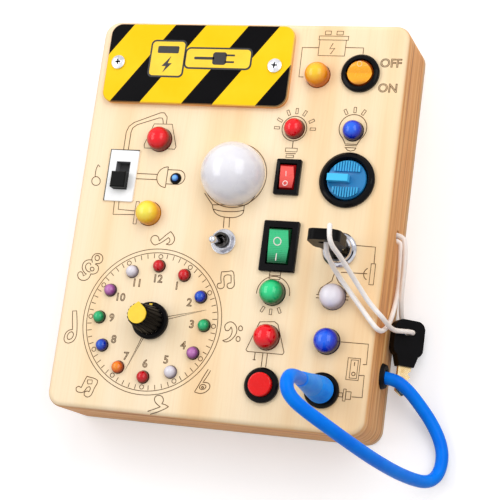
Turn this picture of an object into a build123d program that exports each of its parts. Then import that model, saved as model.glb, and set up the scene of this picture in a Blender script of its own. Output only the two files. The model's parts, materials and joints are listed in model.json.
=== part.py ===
from build123d import *
import math
import os

# Wooden busy board for a toddler: a shallow laminated wooden box full of
# switches, lamps, a clock dial, a key lock and a plug on a lead.
#
# Frame: millimetres. The board lies on its back. +Z points out of the play
# face, +X to the right of the board and +Y up it. The origin is the middle of
# the back, at z = 0. Every control is placed by its own X, Y on the face.

# ---------------------------------------------------------------- board
BOARD_W = 136.5
BOARD_H = 169.0
BOARD_T = 31.0
CORNER_R = 6.5
EDGE_R = 2.5
FRONT_T = 3.0
BACK_T = 3.0
WALL = 6.5
CORNER_POST = 7.0
FACE = BOARD_T
UNDER = FACE - FRONT_T
RIGHT = BOARD_W / 2
TOP = BOARD_H / 2

FIT = 0.1            # a piece pressed or glued in its hole
LAMP_GAP = 0.25      # round a lamp held by its flange
RUN = 0.06           # a shaft or pin turning in its bore
GAP = 0.3            # between moving pieces that are not a fit

# ---------------------------------------------------------------- screws
SCREW_R = 1.45
COVER_SCREW_HEAD_R = 3.0
COVER_SCREW_HEAD_H = 1.5
COVER_SCREW_L = 5.4
BACK_SCREW_HEAD_R = 3.0
BACK_SCREW_HEAD_H = 1.8
BACK_SCREW_L = 14.0
CROSS_L = 2.6
CROSS_W = 0.7
CROSS_D = 0.8

# ---------------------------------------------------------------- battery bay
CELL_R, CELL_L = 5.25, 44.5
TRAY_WALL_END, TRAY_FLOOR, TRAY_RIB, TRAY_SIDE = 1.8, 1.2, 1.0, 1.3
TRAY_LIP, TRAY_LIP_T = 1.2, 0.8
CONTACT_ROOM = 3.9
TRAY_W = CELL_L + 2 * TRAY_WALL_END + CONTACT_ROOM
TRAY_H = 4 * (CELL_R + FIT) + TRAY_RIB + 2 * TRAY_SIDE
TRAY_D = 2 * CELL_R + TRAY_FLOOR + TRAY_SIDE
COVER_W, COVER_H, COVER_T = 83.2, 35.4, 2.5
COVER_R = 5.0
COVER_X, COVER_Y = -0.3209 * RIGHT, TOP - WALL - TRAY_H / 2 - 0.7
COVER_SCREW_X = (COVER_X - COVER_W / 2 + 5.5, COVER_X + COVER_W / 2 - 6.9)
TRAY_X = COVER_X - 0.6
NUB_R, NUB_L = 1.9, 0.8
CONTACT_T, CONTACT_W = 0.4, 8.0

# ---------------------------------------------------------------- lamps
# body radius, flange radius, flange thickness, height of body above its flange
LARGE = (5.1, 5.9, 1.5, 10.1)
MEDIUM = (4.15, 4.9, 1.4, 8.5)
SMALL = (2.55, 3.1, 1.0, 6.1)
MINI = (1.5, 1.9, 0.8, 5.4)
LEAD_T, LEAD_L, LEAD_GAP = 0.6, 4.0, 2.54
LAMPS = {
    "lamp_red_large": (LARGE, [(-0.5033 * RIGHT, 0.374 * TOP), (0.3546 * RIGHT, -0.5751 * TOP)]),
    "lamp_yellow_large": (LARGE, [(-0.504 * RIGHT, -0.0071 * TOP)]),
    "lamp_orange_large": (LARGE, [(0.4571 * RIGHT, 0.7325 * TOP)]),
    "lamp_green_large": (LARGE, [(0.3546 * RIGHT, -0.3598 * TOP)]),
    "lamp_blue_large": (LARGE, [(0.7209 * RIGHT, -0.5704 * TOP)]),
    "lamp_red_medium": (MEDIUM, [(0.3546 * RIGHT, 0.4568 * TOP)]),
    "lamp_blue_medium": (MEDIUM, [(0.7209 * RIGHT, 0.4568 * TOP)]),
}
WHITE_LAMP = (0.7223 * RIGHT, -0.3586 * TOP)
MINI_LAMP = (-0.3648 * RIGHT, 0.1787 * TOP)
BEZEL_R, BEZEL_H, BEZEL_SLEEVE_R, BEZEL_SINK = 2.5, 0.9, 2.1, 0.2

DOME_X, DOME_Y = 0.0147 * RIGHT, 0.2095 * TOP
DOME_R, DOME_WALL, DOME_LIFT = 13.5, 1.4, 2.6
DOME_FOOT = math.sqrt(DOME_R**2 - DOME_LIFT**2)
DOME_MOUTH = math.sqrt((DOME_R - DOME_WALL)**2 - DOME_LIFT**2)
DOME_SPIGOT, DOME_SPIGOT_T = 1.6, 0.9

# ---------------------------------------------------------------- clock
CLOCK_X, CLOCK_Y = -0.3868 * RIGHT, -0.5432 * TOP
HOUR_R = 23.25
HOURS = 12
HOUR_COLOURS = ("red", "red", "blue", "green", "violet", "white",
                "red", "orange", "blue", "green", "violet", "white")
CLOCK_BOARD_R, CLOCK_BOARD_T = 27.5, 1.6
ROTARY_R, ROTARY_D = 12.5, 9.0
ROTARY_LUG = (1.4, 0.6, 3.0)
ROTARY_LUG_R = 10.0
BUSH_R, BUSH_H = 3.5, 2.4
HUB_NUT_AF, HUB_NUT_T = 10.0, 2.0
SHAFT_R = 3.0
SHAFT_FLAT = 2.3
KNOB_SKIRT_R, KNOB_SKIRT_H = 7.7, 2.6
KNOB_LIFT = 0.5
KNOB_LOW_R, KNOB_TOP_R, KNOB_H = 6.2, 4.7, 15.5
KNOB_HOLLOW_R, KNOB_HOLLOW_H = 6.1, 2.6
KNOB_FLUTES, FLUTE_R = 18, 0.45
CAP_R, CAP_POINT, CAP_T, CAP_STEM = 3.9, 5.1, 0.7, 1.0
MARK_W, MARK_H = 1.4, 0.5

# ---------------------------------------------------------------- slide switch
SLIDE_X, SLIDE_Y = -0.7209 * RIGHT, 0.1787 * TOP
SLIDE_PLATE_W, SLIDE_PLATE_H, SLIDE_PLATE_T = 12.9, 22.4, 0.9
SLOT_W, SLOT_H = 6.4, 12.2
SLIDE_CAN_W, SLIDE_CAN_H, SLIDE_CAN_D = 10.0, 19.0, 6.5
SLIDE_STEM_W, SLIDE_STEM_H = 5.8, 6.6
SLIDE_HEAD_W, SLIDE_HEAD_H, SLIDE_HEAD_L = 6.6, 6.8, 3.4
SLIDE_SHOE_W, SLIDE_SHOE_H, SLIDE_SHOE_T = 7.6, 8.0, 1.6
SLIDE_TRAVEL = 5.0

# ---------------------------------------------------------------- toggle switch
TOGGLE_X, TOGGLE_Y = 0.0015 * RIGHT, -0.1254 * TOP
TOGGLE_BUSH_R, TOGGLE_BUSH_H, TOGGLE_BORE_R = 3.0, 4.4, 2.06
TOGGLE_CASE_W, TOGGLE_CASE_H, TOGGLE_CASE_D = 8.0, 13.0, 9.5
WASHER_R, WASHER_T = 5.3, 0.6
TOGGLE_NUT_AF, TOGGLE_NUT_T = 8.0, 2.0
TOGGLE_PIVOT_H = 1.4
TOGGLE_BALL_R, TOGGLE_NECK_R, TOGGLE_TIP_R, TOGGLE_L = 2.0, 1.1, 1.5, 13.4
TOGGLE_TILT = 10.5

# ---------------------------------------------------------------- rockers
ROCKER_BEZEL_H, ROCKER_CASE_D, ROCKER_WELL_D = 2.0, 12.0, 4.5
ROCKER_TILT = 9.0
ROCKER_MID, ROCKER_RISE, ROCKER_BELOW = 2.3, 1.1, 2.4
ROCKER_PROUD = 0.3
ROCKER_EASE_W, ROCKER_EASE_H = 0.7, 1.8
ROCKER_CORNER_R = 0.6
ROCKER_PIN_R, ROCKER_PIN_L = 1.0, 0.7
# x, y, bezel w, bezel h, case w, case h, window w, window h
RED_ROCKER = (0.3546 * RIGHT, 0.2107 * TOP, 10.5, 15.0, 8.8, 13.2, 7.2, 11.2)
GREEN_ROCKER = (0.3604 * RIGHT, -0.1337 * TOP, 15.0, 21.0, 13.0, 19.0, 9.8, 15.4)
ROUND_X, ROUND_Y = 0.7223 * RIGHT, 0.7467 * TOP
ROUND_BEZEL_R, ROUND_CASE_R, ROUND_WINDOW_R = 8.0, 7.0, 6.0
BLADE_W, BLADE_T, BLADE_L, BLADE_PITCH = 3.2, 0.8, 5.0, 5.0

# ---------------------------------------------------------------- blue dial
DIAL_X, DIAL_Y = 0.7209 * RIGHT, 0.2107 * TOP
DIAL_BEZEL_R, DIAL_BEZEL_H, DIAL_CASE_R, DIAL_CASE_D = 11.5, 2.2, 9.8, 13.0
DIAL_WINDOW_R, DIAL_MOUTH_R, DIAL_WELL_D = 8.6, 9.4, 3.6
DIAL_R, DIAL_FLOOR, DIAL_SHAFT_R, DIAL_SHAFT_L = 8.2, 1.4, 2.0, 5.0
DIAL_SIDE_R, DIAL_SIDE_W, DIAL_CHANNEL, DIAL_SIDE = 7.6, 10.8, 6.5, 2.4
DIAL_GROOVES, DIAL_GROOVE_PITCH, DIAL_GROOVE_W, DIAL_GROOVE_D = 9, 1.1, 0.45, 0.5
FIN_W, FIN_TOP, FIN_START, FIN_END, FIN_DRAFT = 2.9, 4.9, -7.6, 1.6, 0.3

# ---------------------------------------------------------------- key lock
LOCK_X, LOCK_Y = 0.7267 * RIGHT, -0.1314 * TOP
LOCK_R, LOCK_PROUD, LOCK_BORE_R, LOCK_D = 5.9, 3.4, 4.6, 13.0
LOCK_FLANGE_R, LOCK_FLANGE_T, LOCK_RIM_R = 7.2, 2.0, 5.8
LOCK_NUT_AF, LOCK_NUT_T = 14.0, 2.4
CORE_R, CORE_SINK, CORE_D = 4.52, 1.0, 10.0
KEY_BOW_W, KEY_BOW_L, KEY_BOW_R, KEY_T = 13.2, 15.0, 3.6, 4.5
KEY_NECK_L, KEY_NECK_W = 4.0, 6.6
KEY_BLADE_W, KEY_BLADE_L, KEY_BLADE_T = 5.6, 12.0, 1.6
KEY_SLOT_W, KEY_SLOT_H, KEY_SLOT_Y = 5.2, 2.8, 10.0
KEY_SHOULDER = 12.0
SPARE_Y, SPARE_LEAN = -0.568 * TOP, 38.0

# ---------------------------------------------------------------- push button
BUTTON_X, BUTTON_Y = 0.3619 * RIGHT, -0.8047 * TOP
BUTTON_RING_R, BUTTON_RING_H, BUTTON_CASE_R, BUTTON_CASE_D = 7.1, 2.2, 5.9, 14.0
BUTTON_CAP_R, BUTTON_CAP_PROUD, BUTTON_CAP_D, BUTTON_TRAVEL = 4.8, 4.2, 3.0, 1.8

# ---------------------------------------------------------------- socket, plug and lead
JACK_X, JACK_Y = 0.7253 * RIGHT, -0.8024 * TOP
JACK_RING_R, JACK_RING_H, JACK_CASE_R, JACK_CASE_D = 7.1, 2.0, 5.2, 15.0
PIN_R, PIN_L = 1.75, 13.0
BOOT_R, BOOT_NECK_R, BOOT_TOP = 5.4, 3.3, 30.0
BOOT_SMOOTH, BOOT_RIBS, BOOT_RIB_PITCH, BOOT_RIB_D = 1.5, 9, 1.35, 0.5
PLUG_TRAVEL = 14.0
LEAD_R = 2.6
GROMMET_R, GROMMET_FLANGE, GROMMET_NECK_R = 5.3, 1.6, 4.3
GROMMET_Y, GROMMET_Z = -0.6805 * TOP, 12.5
WALL_IN = RIGHT - WALL

LEAD_SPLICE = 7.6


def near(x, y, points):
    """Route points given as steps from one place on the board, heights from the floor."""
    return [(x + dx, y + dy, z) for dx, dy, z in points]


# Lead from the plug over the bottom corner, round on the floor to the side.
LEAD_ROUTE = near(JACK_X, JACK_Y, [
    (0, 0, FACE + BOOT_TOP), (0, 0, 74.1), (1.4, -1.8, 78.6), (3.8, -5.1, 81.6),
    (6.8, -9.0, 82.4), (9.8, -12.8, 80.8), (14.4, -18.2, 73.8)])
LEAD_ROUTE += near(RIGHT, -TOP, [
    (1.35, -6.5, 60.0), (7.35, -10.3, 44.6), (12.95, -12.9, 29.0), (17.75, -13.9, 16.8),
    (21.75, -13.5, 8.8), (25.15, -10.9, 4.6), (27.45, -6.1, 2.8), (27.75, -0.3, 2.7)])
LEAD_ROUTE += near(RIGHT, GROMMET_Y, [
    (25.55, -21.7, 2.7), (21.55, -15.1, 3.7), (16.75, -8.9, 6.6), (11.75, -3.4, 10.2),
    (5.15, 0, GROMMET_Z), (-LEAD_SPLICE, 0, GROMMET_Z)])

# ---------------------------------------------------------------- lanyard
LACE_R = 1.0
LACE_HOLE_R = 2.5
LACE_Y, LACE_Z = 0.0, 14.0
LACE_APART = 1.15
KNOT_R = 3.0
# Loop from the side hole through the spare key, over the face and through the
# bow of the key in the lock, back through the spare key to the same hole.
LACE_ROUTE = near(RIGHT, LACE_Y, [
    (-8.65, LACE_APART, LACE_Z), (2.35, LACE_APART, LACE_Z), (3.65, -4.8, 13.0),
    (3.55, -14.0, 11.4), (3.45, -23.5, 10.4)])
LACE_ROUTE += near(RIGHT, SPARE_Y, [
    (3.95, 17.0, 5.2), (4.35, 12.8, 2.4), (5.95, 10.2, 2.5), (9.95, 9.8, 7.7),
    (9.75, 9.0, 13.0), (7.95, 9.1, 18.0), (4.65, 10.0, 28.2), (1.35, 12.2, 34.8)])
LACE_ROUTE += near(LOCK_X, LOCK_Y, [
    (14.4, -19.1, 37.4), (8.2, -11.1, 41.3), (6.0, -6.5, 49.0), (4.6, -4.1, 60.0),
    (1.4, 4.0, 59.9), (0.1, 4.8, 53.1), (0.1, -3.9, 53.1), (1.0, -7.9, 47.6),
    (5.6, -14.3, 40.4), (11.8, -22.1, 36.2)])
LACE_ROUTE += near(RIGHT, SPARE_Y, [
    (-1.45, 8.6, 35.2), (2.75, 5.8, 29.0), (6.05, 6.0, 20.0), (7.55, 7.8, 13.0),
    (7.85, 9.7, 9.2), (3.85, 10.3, 4.1), (2.05, 13.0, 4.0), (1.95, 17.0, 6.2)])
LACE_ROUTE += near(RIGHT, LACE_Y, [
    (1.55, -24.0, 10.2), (1.45, -14.5, 11.8), (1.85, -6.4, 13.2), (1.65, -1.2, LACE_Z),
    (-8.65, -LACE_APART, LACE_Z)])


# ================================================================ helpers
def plate(w, h, t, r, x=0.0, y=0.0, z=0.0):
    """Flat plate with rounded corners, centred on x, y, standing on z."""
    return Pos(x, y, z) * extrude(RectangleRounded(w, h, r), amount=t)


def block(w, h, t, x=0.0, y=0.0, z=0.0):
    """Rectangular block centred on x, y, standing on z."""
    return Pos(x, y, z) * Box(w, h, t, align=(Align.CENTER, Align.CENTER, Align.MIN))


def disc(r, t, x=0.0, y=0.0, z=0.0):
    """Upright cylinder centred on x, y, standing on z."""
    return Pos(x, y, z) * Cylinder(r, t, align=(Align.CENTER, Align.CENTER, Align.MIN))


def turned(*edges):
    """Solid turned about the Z axis from a closed outline of (radius, height)."""
    return revolve(make_face(Plane.XZ * sum(edges[1:], edges[0])), axis=Axis.Z)


def turned_line(*points):
    """Solid turned about the Z axis from a polygon of (radius, height)."""
    return turned(Polyline(*points, close=True))


def hexagon(across_flats, t, x=0.0, y=0.0, z=0.0):
    """Hexagonal prism, flats facing left and right, standing on z."""
    outline = RegularPolygon(across_flats / 2, 6, major_radius=False, rotation=30)
    return Pos(x, y, z) * extrude(outline, amount=t)


def cross_recess(low, high):
    """The cross of a driver's tip between two heights."""
    arm = block(CROSS_L, CROSS_W, high - low, z=low)
    return arm + block(CROSS_W, CROSS_L, high - low, z=low)


def tube(points, radius, name):
    """Tube of straight runs joined by tangent arcs as large as the runs allow."""
    points = [Vector(*p) for p in points]
    radii = []
    for before, here, after in zip(points, points[1:], points[2:]):
        run_in = here - before
        run_out = after - here
        half_turn = math.radians(run_in.get_angle(run_out)) / 2
        radii.append(0.45 * min(run_in.length, run_out.length) / math.tan(half_turn))
    path = FilletPolyline(*points, radius=radii)
    start = Plane(origin=points[0], z_dir=points[1] - points[0])
    solid = sweep(start * Circle(radius), path=path)
    print(name, "length %.1f" % path.length,
          "volume share %.4f" % (solid.volume / (math.pi * radius**2 * path.length)))
    print(name, "radii", " ".join("%.1f" % r for r in radii))
    return solid


# ================================================================ box
def post_places():
    """Centres of the four corner posts that take the back screws."""
    x = BOARD_W / 2 - WALL - CORNER_POST / 2
    y = BOARD_H / 2 - WALL - CORNER_POST / 2
    return [(x, y), (-x, y), (-x, -y), (x, -y)]


def side_frame():
    """The glued wooden ring between the two panels, with its corner posts."""
    height = UNDER - BACK_T
    ring = plate(BOARD_W, BOARD_H, height, CORNER_R, z=BACK_T)
    hollow = block(BOARD_W - 2 * WALL, BOARD_H - 2 * WALL, height, z=BACK_T)
    for x, y in post_places():
        hollow -= block(CORNER_POST, CORNER_POST, height, x, y, BACK_T)
    ring -= hollow
    for x, y in post_places():
        ring -= disc(SCREW_R + FIT, BACK_SCREW_L - BACK_T + FIT, x, y, BACK_T)
    side = Plane(origin=(WALL_IN, 0, 0), x_dir=(0, 1, 0), z_dir=(1, 0, 0))
    lace_hole = Pos(LACE_Y, LACE_Z) * Circle(LACE_HOLE_R)
    grommet_hole = Pos(GROMMET_Y, GROMMET_Z) * Circle(GROMMET_NECK_R + FIT)
    ring -= extrude(side * lace_hole, amount=WALL)
    ring -= extrude(side * grommet_hole, amount=WALL)
    return ring


def back_panel():
    """Plywood back, flush with the ring, countersunk for its screws."""
    panel = plate(BOARD_W, BOARD_H, BACK_T, CORNER_R)
    for x, y in post_places():
        panel -= disc(SCREW_R + FIT, BACK_T, x, y)
        cone = turned_line((0, 0), (BACK_SCREW_HEAD_R + FIT, 0),
                           (SCREW_R + FIT, BACK_SCREW_HEAD_H), (0, BACK_SCREW_HEAD_H))
        panel -= Pos(x, y, 0) * cone
    return panel


def back_screws():
    """Countersunk wood screws, heads just under the back."""
    sink = 0.1
    screw = turned_line((0, sink), (BACK_SCREW_HEAD_R, sink), (SCREW_R, BACK_SCREW_HEAD_H),
                        (SCREW_R, BACK_SCREW_L - 2.0), (0, BACK_SCREW_L))
    screw -= cross_recess(0, sink + CROSS_D)
    return Compound([Pos(x, y, 0) * screw for x, y in post_places()])


def lamp_places():
    """Every lamp as (sizes, x, y)."""
    places = [(kind, x, y) for kind, spots in LAMPS.values() for x, y in spots]
    places += [(LARGE, *WHITE_LAMP), (LARGE, DOME_X, DOME_Y)]
    places.append((MINI, *MINI_LAMP))
    return places + [(SMALL, x, y) for x, y in hour_places()]


def front_panel():
    """Play face: rounded plywood with a hole for each control and lamp."""
    panel = plate(BOARD_W, BOARD_H, FRONT_T, CORNER_R, z=UNDER)
    panel = fillet(panel.faces().sort_by(Axis.Z)[-1].edges(), EDGE_R)
    for (body_r, *_), x, y in lamp_places():
        hole_r = BEZEL_SLEEVE_R + FIT if (x, y) == MINI_LAMP else body_r + LAMP_GAP
        panel -= disc(hole_r, FRONT_T, x, y, UNDER)
    groove = disc(DOME_MOUTH + DOME_SPIGOT_T + FIT, DOME_SPIGOT + FIT)
    groove -= disc(DOME_MOUTH - FIT, DOME_SPIGOT + FIT)
    panel -= Pos(DOME_X, DOME_Y, FACE - DOME_SPIGOT - FIT) * groove
    for x in COVER_SCREW_X:
        panel -= disc(SCREW_R + FIT, FRONT_T, x, COVER_Y, UNDER)
    panel -= block(TRAY_W + 2 * FIT, TRAY_H + 2 * FIT, FRONT_T, TRAY_X, COVER_Y, UNDER)
    lip = 2 * (TRAY_LIP + FIT)
    panel -= block(TRAY_W + lip, TRAY_H + lip, TRAY_LIP_T + FIT, TRAY_X, COVER_Y,
                   FACE - TRAY_LIP_T - FIT)
    panel -= disc(BUSH_R + FIT, FRONT_T, CLOCK_X, CLOCK_Y, UNDER)
    panel -= block(SLOT_W, SLOT_H, FRONT_T, SLIDE_X, SLIDE_Y, UNDER)
    panel -= disc(TOGGLE_BUSH_R + FIT, FRONT_T, TOGGLE_X, TOGGLE_Y, UNDER)
    for x, y, _, _, case_w, case_h, _, _ in (RED_ROCKER, GREEN_ROCKER):
        panel -= block(case_w + 2 * FIT, case_h + 2 * FIT, FRONT_T, x, y, UNDER)
    panel -= disc(ROUND_CASE_R + FIT, FRONT_T, ROUND_X, ROUND_Y, UNDER)
    panel -= disc(DIAL_CASE_R + FIT, FRONT_T, DIAL_X, DIAL_Y, UNDER)
    panel -= disc(LOCK_R + FIT, FRONT_T, LOCK_X, LOCK_Y, UNDER)
    panel -= disc(BUTTON_CASE_R + FIT, FRONT_T, BUTTON_X, BUTTON_Y, UNDER)
    panel -= disc(JACK_CASE_R + FIT, FRONT_T, JACK_X, JACK_Y, UNDER)
    return panel


# ================================================================ battery bay
def battery_cover():
    """Striped cover plate over the battery bay."""
    cover = plate(COVER_W, COVER_H, COVER_T, COVER_R, COVER_X, COVER_Y, FACE)
    cover = chamfer(cover.faces().sort_by(Axis.Z)[-1].edges(), 0.4)
    for x in COVER_SCREW_X:
        cover -= disc(SCREW_R + FIT, COVER_T, x, COVER_Y, FACE)
    return cover


def cover_screws():
    """Pan-head screws that hold the cover to the face."""
    under_head = FACE + COVER_T
    head_r = COVER_SCREW_HEAD_R
    rise = COVER_SCREW_HEAD_H / 2
    crown = under_head + 2 * rise
    tip = under_head - COVER_SCREW_L
    ball_r = (head_r**2 + rise**2) / (2 * rise)
    between = crown - ball_r + math.sqrt(ball_r**2 - head_r**2 / 4)
    screw = turned(
        Polyline((0, crown), (0, tip), (SCREW_R, tip + 1.5), (SCREW_R, under_head),
                 (head_r, under_head), (head_r, under_head + rise)),
        ThreePointArc((head_r, under_head + rise), (head_r / 2, between), (0, crown)))
    screw -= cross_recess(crown - CROSS_D, crown + CROSS_D)
    return Compound([Pos(x, COVER_Y, 0) * screw for x in COVER_SCREW_X])


def channel_y(row):
    """Middle of one battery channel: row is -1 or 1."""
    return COVER_Y + row * (CELL_R + FIT + TRAY_RIB / 2)


def battery_tray():
    """Open tray with two channels and a lip that sits in the face."""
    top = FACE - FIT
    tray = block(TRAY_W, TRAY_H, TRAY_D, TRAY_X, COVER_Y, top - TRAY_D)
    tray += block(TRAY_W + 2 * TRAY_LIP, TRAY_H + 2 * TRAY_LIP, TRAY_LIP_T, TRAY_X, COVER_Y,
                  top - TRAY_LIP_T)
    for row in (-1, 1):
        tray -= block(TRAY_W - 2 * TRAY_WALL_END, 2 * (CELL_R + FIT), TRAY_D, TRAY_X,
                      channel_y(row), top - TRAY_D + TRAY_FLOOR)
    return tray


CELL_Z = FACE - FIT - TRAY_D + TRAY_FLOOR + CELL_R + 0.05


def battery_cells():
    """Two small round cells, laid head to tail."""
    cell = turned_line((0, 0), (CELL_R - 0.4, 0), (CELL_R, 0.4), (CELL_R, CELL_L - NUB_L - 0.4),
                       (CELL_R - 0.4, CELL_L - NUB_L), (NUB_R, CELL_L - NUB_L),
                       (NUB_R, CELL_L), (0, CELL_L))
    end = TRAY_W / 2 - TRAY_WALL_END - CONTACT_T - FIT
    cells = []
    for row in (-1, 1):
        place = Pos(TRAY_X + row * (end - CELL_L), channel_y(row), CELL_Z)
        cells.append(place * Rot(0, 90 * row, 0) * cell)
    return Compound(cells)


def battery_contacts():
    """Flat contact at each cell's nub and bent leaf spring at its base."""
    inner = TRAY_W / 2 - TRAY_WALL_END
    floor = FACE - FIT - TRAY_D + TRAY_FLOOR
    reach = 2 * inner - 2 * CONTACT_T - CELL_L - 3 * FIT
    leaf = Polyline((0, 0.3), (0, 8.4), (reach, 4.2), (reach, 3.8), (CONTACT_T, 7.6),
                    (CONTACT_T, 0.3), close=True)
    solids = []
    for row in (-1, 1):
        solids.append(block(CONTACT_T, CONTACT_W, CONTACT_W, TRAY_X + row * (inner - CONTACT_T / 2),
                            channel_y(row), floor + 0.3))
        spring = extrude(make_face(Plane.XZ * leaf), amount=CONTACT_W / 2, both=True)
        turn = Rot(0, 0, 0 if row > 0 else 180)
        solids.append(Pos(TRAY_X - row * inner, channel_y(row), floor) * turn * spring)
    return Compound(solids)


# ================================================================ lamps
def lamp(kind, x, y, leads=True):
    """Domed lamp pushed up from behind until its flange meets the panel."""
    body_r, flange_r, flange_t, height = kind
    shoulder = height - body_r
    solid = turned(
        Polyline((0, height), (0, -flange_t), (flange_r, -flange_t), (flange_r, 0),
                 (body_r, 0), (body_r, shoulder)),
        ThreePointArc((body_r, shoulder),
                      (body_r * math.sqrt(0.5), shoulder + body_r * math.sqrt(0.5)), (0, height)))
    if leads:
        for side in (-0.5, 0.5):
            solid += block(LEAD_T, LEAD_T, LEAD_L, side * LEAD_GAP, 0, -flange_t - LEAD_L)
    return Pos(x, y, UNDER) * solid


def hour_places():
    """Lamp places round the clock, twelve o'clock first and then clockwise."""
    turns = [2 * math.pi * hour / HOURS for hour in range(HOURS)]
    return [(CLOCK_X + HOUR_R * math.sin(t), CLOCK_Y + HOUR_R * math.cos(t)) for t in turns]


def small_lamps(colour):
    """The clock's lamps of one colour; the blue ones have the mini lamp with them."""
    spots = [spot for spot, tint in zip(hour_places(), HOUR_COLOURS) if tint == colour]
    lamps = [lamp(SMALL, x, y, leads=False) for x, y in spots]
    if colour == "blue":
        lamps.append(Pos(0, 0, -BEZEL_SINK) * lamp(MINI, *MINI_LAMP, leads=False))
    return Compound(lamps)


def lamp_bezel():
    """Dark holder of the mini lamp: a sleeve in the face under a narrow rim."""
    bore = MINI[0] + FIT
    low = -FRONT_T - BEZEL_SINK + FIT
    ring = turned_line((bore, low), (BEZEL_SLEEVE_R, low), (BEZEL_SLEEVE_R, 0), (BEZEL_R, 0),
                       (BEZEL_R - 0.4, BEZEL_H), (bore, BEZEL_H))
    return Pos(*MINI_LAMP, FACE) * ring


def bulb_dome():
    """Milky globe over the white lamp, cut below its middle, with a spigot in the face."""
    inner = DOME_R - DOME_WALL
    half = math.sqrt(0.5)
    outside = DOME_MOUTH + DOME_SPIGOT_T
    shell = turned(
        Line((0, DOME_LIFT + inner), (0, DOME_LIFT + DOME_R)),
        ThreePointArc((0, DOME_LIFT + DOME_R), (DOME_R * half, DOME_LIFT + DOME_R * half),
                      (DOME_FOOT, 0)),
        Polyline((DOME_FOOT, 0), (outside, 0), (outside, -DOME_SPIGOT),
                 (DOME_MOUTH, -DOME_SPIGOT), (DOME_MOUTH, 0)),
        ThreePointArc((DOME_MOUTH, 0), (inner * half, DOME_LIFT + inner * half),
                      (0, DOME_LIFT + inner)))
    return Pos(DOME_X, DOME_Y, FACE) * shell


# ================================================================ clock
def clock_board():
    """Round circuit board that carries the hour lamps, open in the middle."""
    thick = CLOCK_BOARD_T
    board = disc(CLOCK_BOARD_R, thick) - disc(ROTARY_R + GAP, thick)
    return Pos(CLOCK_X, CLOCK_Y, UNDER - SMALL[2] - thick) * board


def rotary_body():
    """Twelve-way rotary switch: round case, bushing and a ring of lugs."""
    body = disc(ROTARY_R, ROTARY_D, z=-ROTARY_D) + disc(BUSH_R, FRONT_T + BUSH_H)
    for hour in range(HOURS):
        lug = block(*ROTARY_LUG, ROTARY_LUG_R, 0, -ROTARY_D - ROTARY_LUG[2])
        body += Rot(0, 0, 360 / HOURS * (hour + 0.5)) * lug
    body -= disc(SHAFT_R + RUN, ROTARY_D + FRONT_T + BUSH_H, z=-ROTARY_D + 2)
    return Pos(CLOCK_X, CLOCK_Y, UNDER) * body


def rotary_nut():
    """Hexagon nut on the bushing, hidden in the knob's hollow."""
    nut = hexagon(HUB_NUT_AF, HUB_NUT_T) - disc(BUSH_R + FIT, HUB_NUT_T)
    return Pos(CLOCK_X, CLOCK_Y, FACE) * nut


def shaft_profile(r, flat):
    """Round shaft with one flat."""
    return Circle(r) - Pos(0, r + flat) * Rectangle(2 * r, 2 * r)


def rotary_shaft():
    """Shaft of the rotary switch, with its flat where the knob grips it."""
    low = -FRONT_T - ROTARY_D + 2 + GAP
    shaft = disc(SHAFT_R, BUSH_H + GAP - low, z=low)
    top = KNOB_H - 4.0
    shaft += Pos(0, 0, BUSH_H + GAP) * extrude(shaft_profile(SHAFT_R, SHAFT_FLAT),
                                               amount=top - BUSH_H - GAP)
    return Pos(CLOCK_X, CLOCK_Y, FACE) * shaft


def clock_knob():
    """Fluted pointer knob: skirt, tapered grip, hollow foot and a keyed bore."""
    skirt_top = KNOB_LIFT + KNOB_SKIRT_H
    knob = turned_line((0, KNOB_LIFT), (KNOB_SKIRT_R, KNOB_LIFT),
                       (KNOB_SKIRT_R, skirt_top - 0.8), (KNOB_SKIRT_R - 0.8, skirt_top),
                       (KNOB_LOW_R, skirt_top), (KNOB_TOP_R, KNOB_H - 0.5),
                       (KNOB_TOP_R - 0.5, KNOB_H), (0, KNOB_H))
    lean = math.degrees(math.atan2(KNOB_LOW_R - KNOB_TOP_R, KNOB_H - skirt_top))
    flute = Pos(KNOB_LOW_R, 0, skirt_top) * Rot(0, -lean, 0) * disc(FLUTE_R, KNOB_H)
    for turn in range(KNOB_FLUTES):
        knob -= Rot(0, 0, 360 / KNOB_FLUTES * (turn + 0.5)) * flute
    knob -= disc(KNOB_HOLLOW_R, KNOB_HOLLOW_H, z=KNOB_LIFT)
    bore = extrude(shaft_profile(SHAFT_R + RUN, SHAFT_FLAT + RUN), amount=KNOB_H - 3.8)
    knob -= bore
    knob -= disc(CAP_R - 0.6, CAP_STEM, z=KNOB_H - CAP_STEM)
    knob -= block(MARK_W, KNOB_SKIRT_R, MARK_H, 0, KNOB_LOW_R + KNOB_SKIRT_R / 2,
                  skirt_top - MARK_H)
    return Pos(CLOCK_X, CLOCK_Y, FACE) * knob


def knob_cap():
    """Yellow drop-shaped cap with a stem, and the mark in the skirt."""
    half = math.radians(50)
    touch = (CAP_R * math.cos(half), CAP_R * math.sin(half))
    outline = make_face(Polyline((-touch[0], touch[1]), (0, CAP_POINT), touch)
                        + ThreePointArc(touch, (0, -CAP_R), (-touch[0], touch[1])))
    cap = Pos(0, 0, KNOB_H) * extrude(outline, amount=CAP_T)
    cap += disc(CAP_R - 0.6 - FIT / 2, CAP_STEM - FIT, z=KNOB_H - CAP_STEM + FIT)
    skirt_top = KNOB_LIFT + KNOB_SKIRT_H
    inner = KNOB_LOW_R + 0.05
    outer = KNOB_SKIRT_R - 0.85
    mark = block(MARK_W - FIT, outer - inner, MARK_H - FIT, 0, (outer + inner) / 2,
                 skirt_top - MARK_H + FIT)
    return Compound([Pos(CLOCK_X, CLOCK_Y, FACE) * cap, Pos(CLOCK_X, CLOCK_Y, FACE) * mark])


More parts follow.
